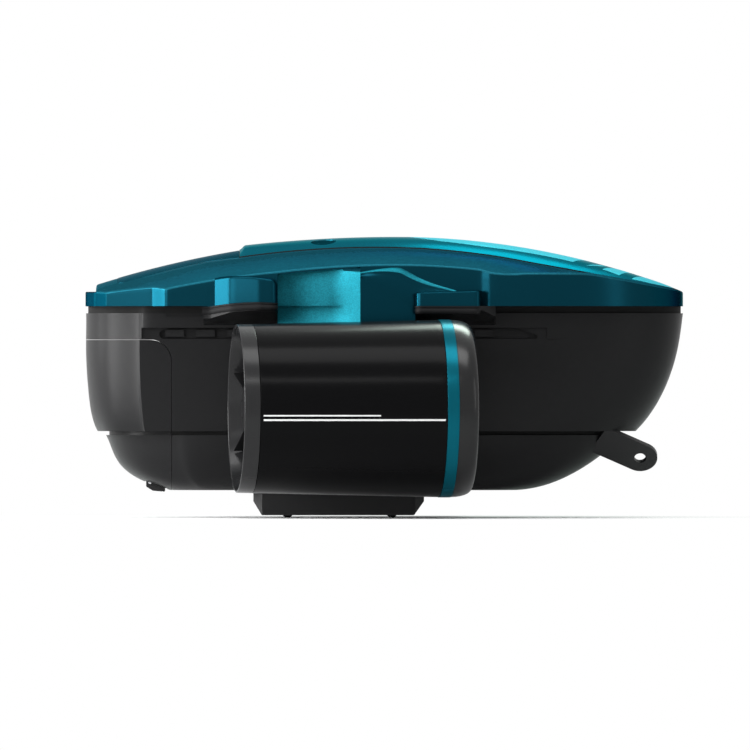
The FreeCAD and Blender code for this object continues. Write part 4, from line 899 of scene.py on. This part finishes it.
def panel_skin(name, points, triangles, walls, material, replaced):
    """Piece on the hull made of a triangle mesh in millimetres and of wall strips, joined at equal points
    and turned outwards."""
    same_point = 0.00001
    used, triangles = np.unique(triangles, return_inverse=True)
    faces = triangles.reshape(-1, 3).tolist()
    points = [points[used]]
    base = len(used)
    for wall in walls:
        faces += (grid_faces(*wall.shape[:2]) + base).tolist()
        points.append(wall.reshape(-1, 3))
        base += len(points[-1])
    mesh = bpy.data.meshes.new(name)
    mesh.from_pydata((np.concatenate(points) / 1000).tolist(), [], faces)
    joined = bmesh.new()
    joined.from_mesh(mesh)
    bmesh.ops.remove_doubles(joined, verts=joined.verts, dist=same_point)
    bmesh.ops.recalc_face_normals(joined, faces=joined.faces)
    joined.to_mesh(mesh)
    joined.free()
    hand_over(name, mesh, [material], "hull", replaced, 40)


def walls_of(rings, lift, depth):
    """Wall strips under closed plan lines, from a lift over the panel down to a depth under it."""
    walls = []
    for ring in rings:
        ring = np.concatenate([ring, ring[:1]])
        top = crown_height(ring[:, 0], ring[:, 1])
        walls.append(np.stack([heighted(ring, top + lift), heighted(ring, top - depth)]))
    return walls


crown_teal = lacquered("crown_teal", (0.008, 0.095, 0.130), 0.24, 0.65, 0.01, (0.03, 0.45, 0.48))
tail_teal = lacquered("tail_teal", (0.006, 0.058, 0.085), 0.26, 0.50, 0.01, (0.0, 0.10, 0.14))
inlay_pale = moulded("inlay_pale", (0.07, 0.42, 0.50), 0.35, 0.0, grain=1800.0, depth=0.03, spread=0.04,
                     metal=0.5, edge=(0.3, 0.6, 0.7))
panel_skin("crown_lid", panel_points, cells, walls_of(lid_rings, 0.0, 3.6), crown_teal,
           ("crown_panel",))
seal_line = np.concatenate([panel_line, panel_line[:1]])
seal_top = crown_height(seal_line[:, 0], seal_line[:, 1])
out = outward(seal_line)
out *= np.sign((out * (seal_line - (60, 0))).sum())
rows = []
for reach, depth in ((0.0, 0.05), (0.26, 0.05), (0.26, 3.4), (0.0, 3.4), (0.0, 0.05)):
    rows.append(heighted(seal_line + out * reach, seal_top - depth))
skin("crown_seal", [(np.stack(rows), 0, np.array([60.0, 0.0, 200.0]))], [rubber_black], "hull",
     closed=True)
inlay_lift = 0.06
panel_skin("bow_patches", panel_points + (0, 0, inlay_lift), cells[pale],
           walls_of(patch_rings, inlay_lift, 0.5), inlay_pale, ("bow_inlays",))
dress(tail_teal, "tail_panel")

# The controls: a power button and two thumb buttons whose dished caps lie level with the crown panel, and
# a dark status lens, over a circuit board with silicone switch domes.
button_teal = lacquered("button_teal", (0.002, 0.045, 0.062), 0.34, 0.50, 0.02, (0.0, 0.08, 0.1))
around = np.linspace(0, 2 * math.pi, 49)
# from the middle of the dish out to the rim, over its rounded edge and down the wall
cap_section = ((0.0, 0.8), (0.3, 0.77), (0.6, 0.66), (0.85, 0.5), (0.93, 0.45), (0.98, 0.6), (1.0, 1.1),
               (1.0, 9.0))
for name, body, replaced, x, y, radius in buttons:
    rings = []
    for r, drop in cap_section:
        ring_x, ring_y = x + radius * r * np.cos(around), y + radius * r * np.sin(around)
        rings.append(line_of(ring_x, ring_y, crown_height(ring_x, ring_y) - drop))
    skin(name, [(np.stack(rings), 0, np.array([x, y, 200.0]))], [button_teal], body,
         (replaced,), sharp=50)
lens_dark = moulded("lens_dark", (0.006, 0.007, 0.008), 0.08, 0.5, grain=200.0, depth=0.005, coat=0.3)
board_green = moulded("board_green", (0.015, 0.10, 0.045), 0.38, 0.4, grain=450.0, depth=0.4,
                      stretch=(1, 0.25, 1))
silicone = moulded("silicone", (0.38, 0.38, 0.38), 0.6, 0.3, grain=800.0)
dress(lens_dark, "status_lens")
dress(board_green, "control_board")
dress(silicone, "switch_domes")

# The bottom block: a moulded foot with chamfered ends, held by four black dome-head screws on which the
# scooter stands.
block_black = moulded("block_black", (0.014, 0.014, 0.0147), 0.40, 0.22, grain=1900.0, depth=0.15,
                      spread=0.08)
screw_black = moulded("screw_black", (0.012, 0.012, 0.0125), 0.25, 0.5, grain=600.0, depth=0.05, metal=0.5)
dress(block_black, "bottom_block")
dress(screw_black, "block_screws")

# The tow eyes: flat plates with a round end and a bore, stamped from steel and painted satin black, seated
# in slots of the lower hull.
eye_paint = moulded("eye_paint", (0.012, 0.012, 0.0125), 0.36, 0.3, grain=1000.0, depth=0.12)
dress(eye_paint, "tow_eye_left", "tow_eye_right")

low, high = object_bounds()
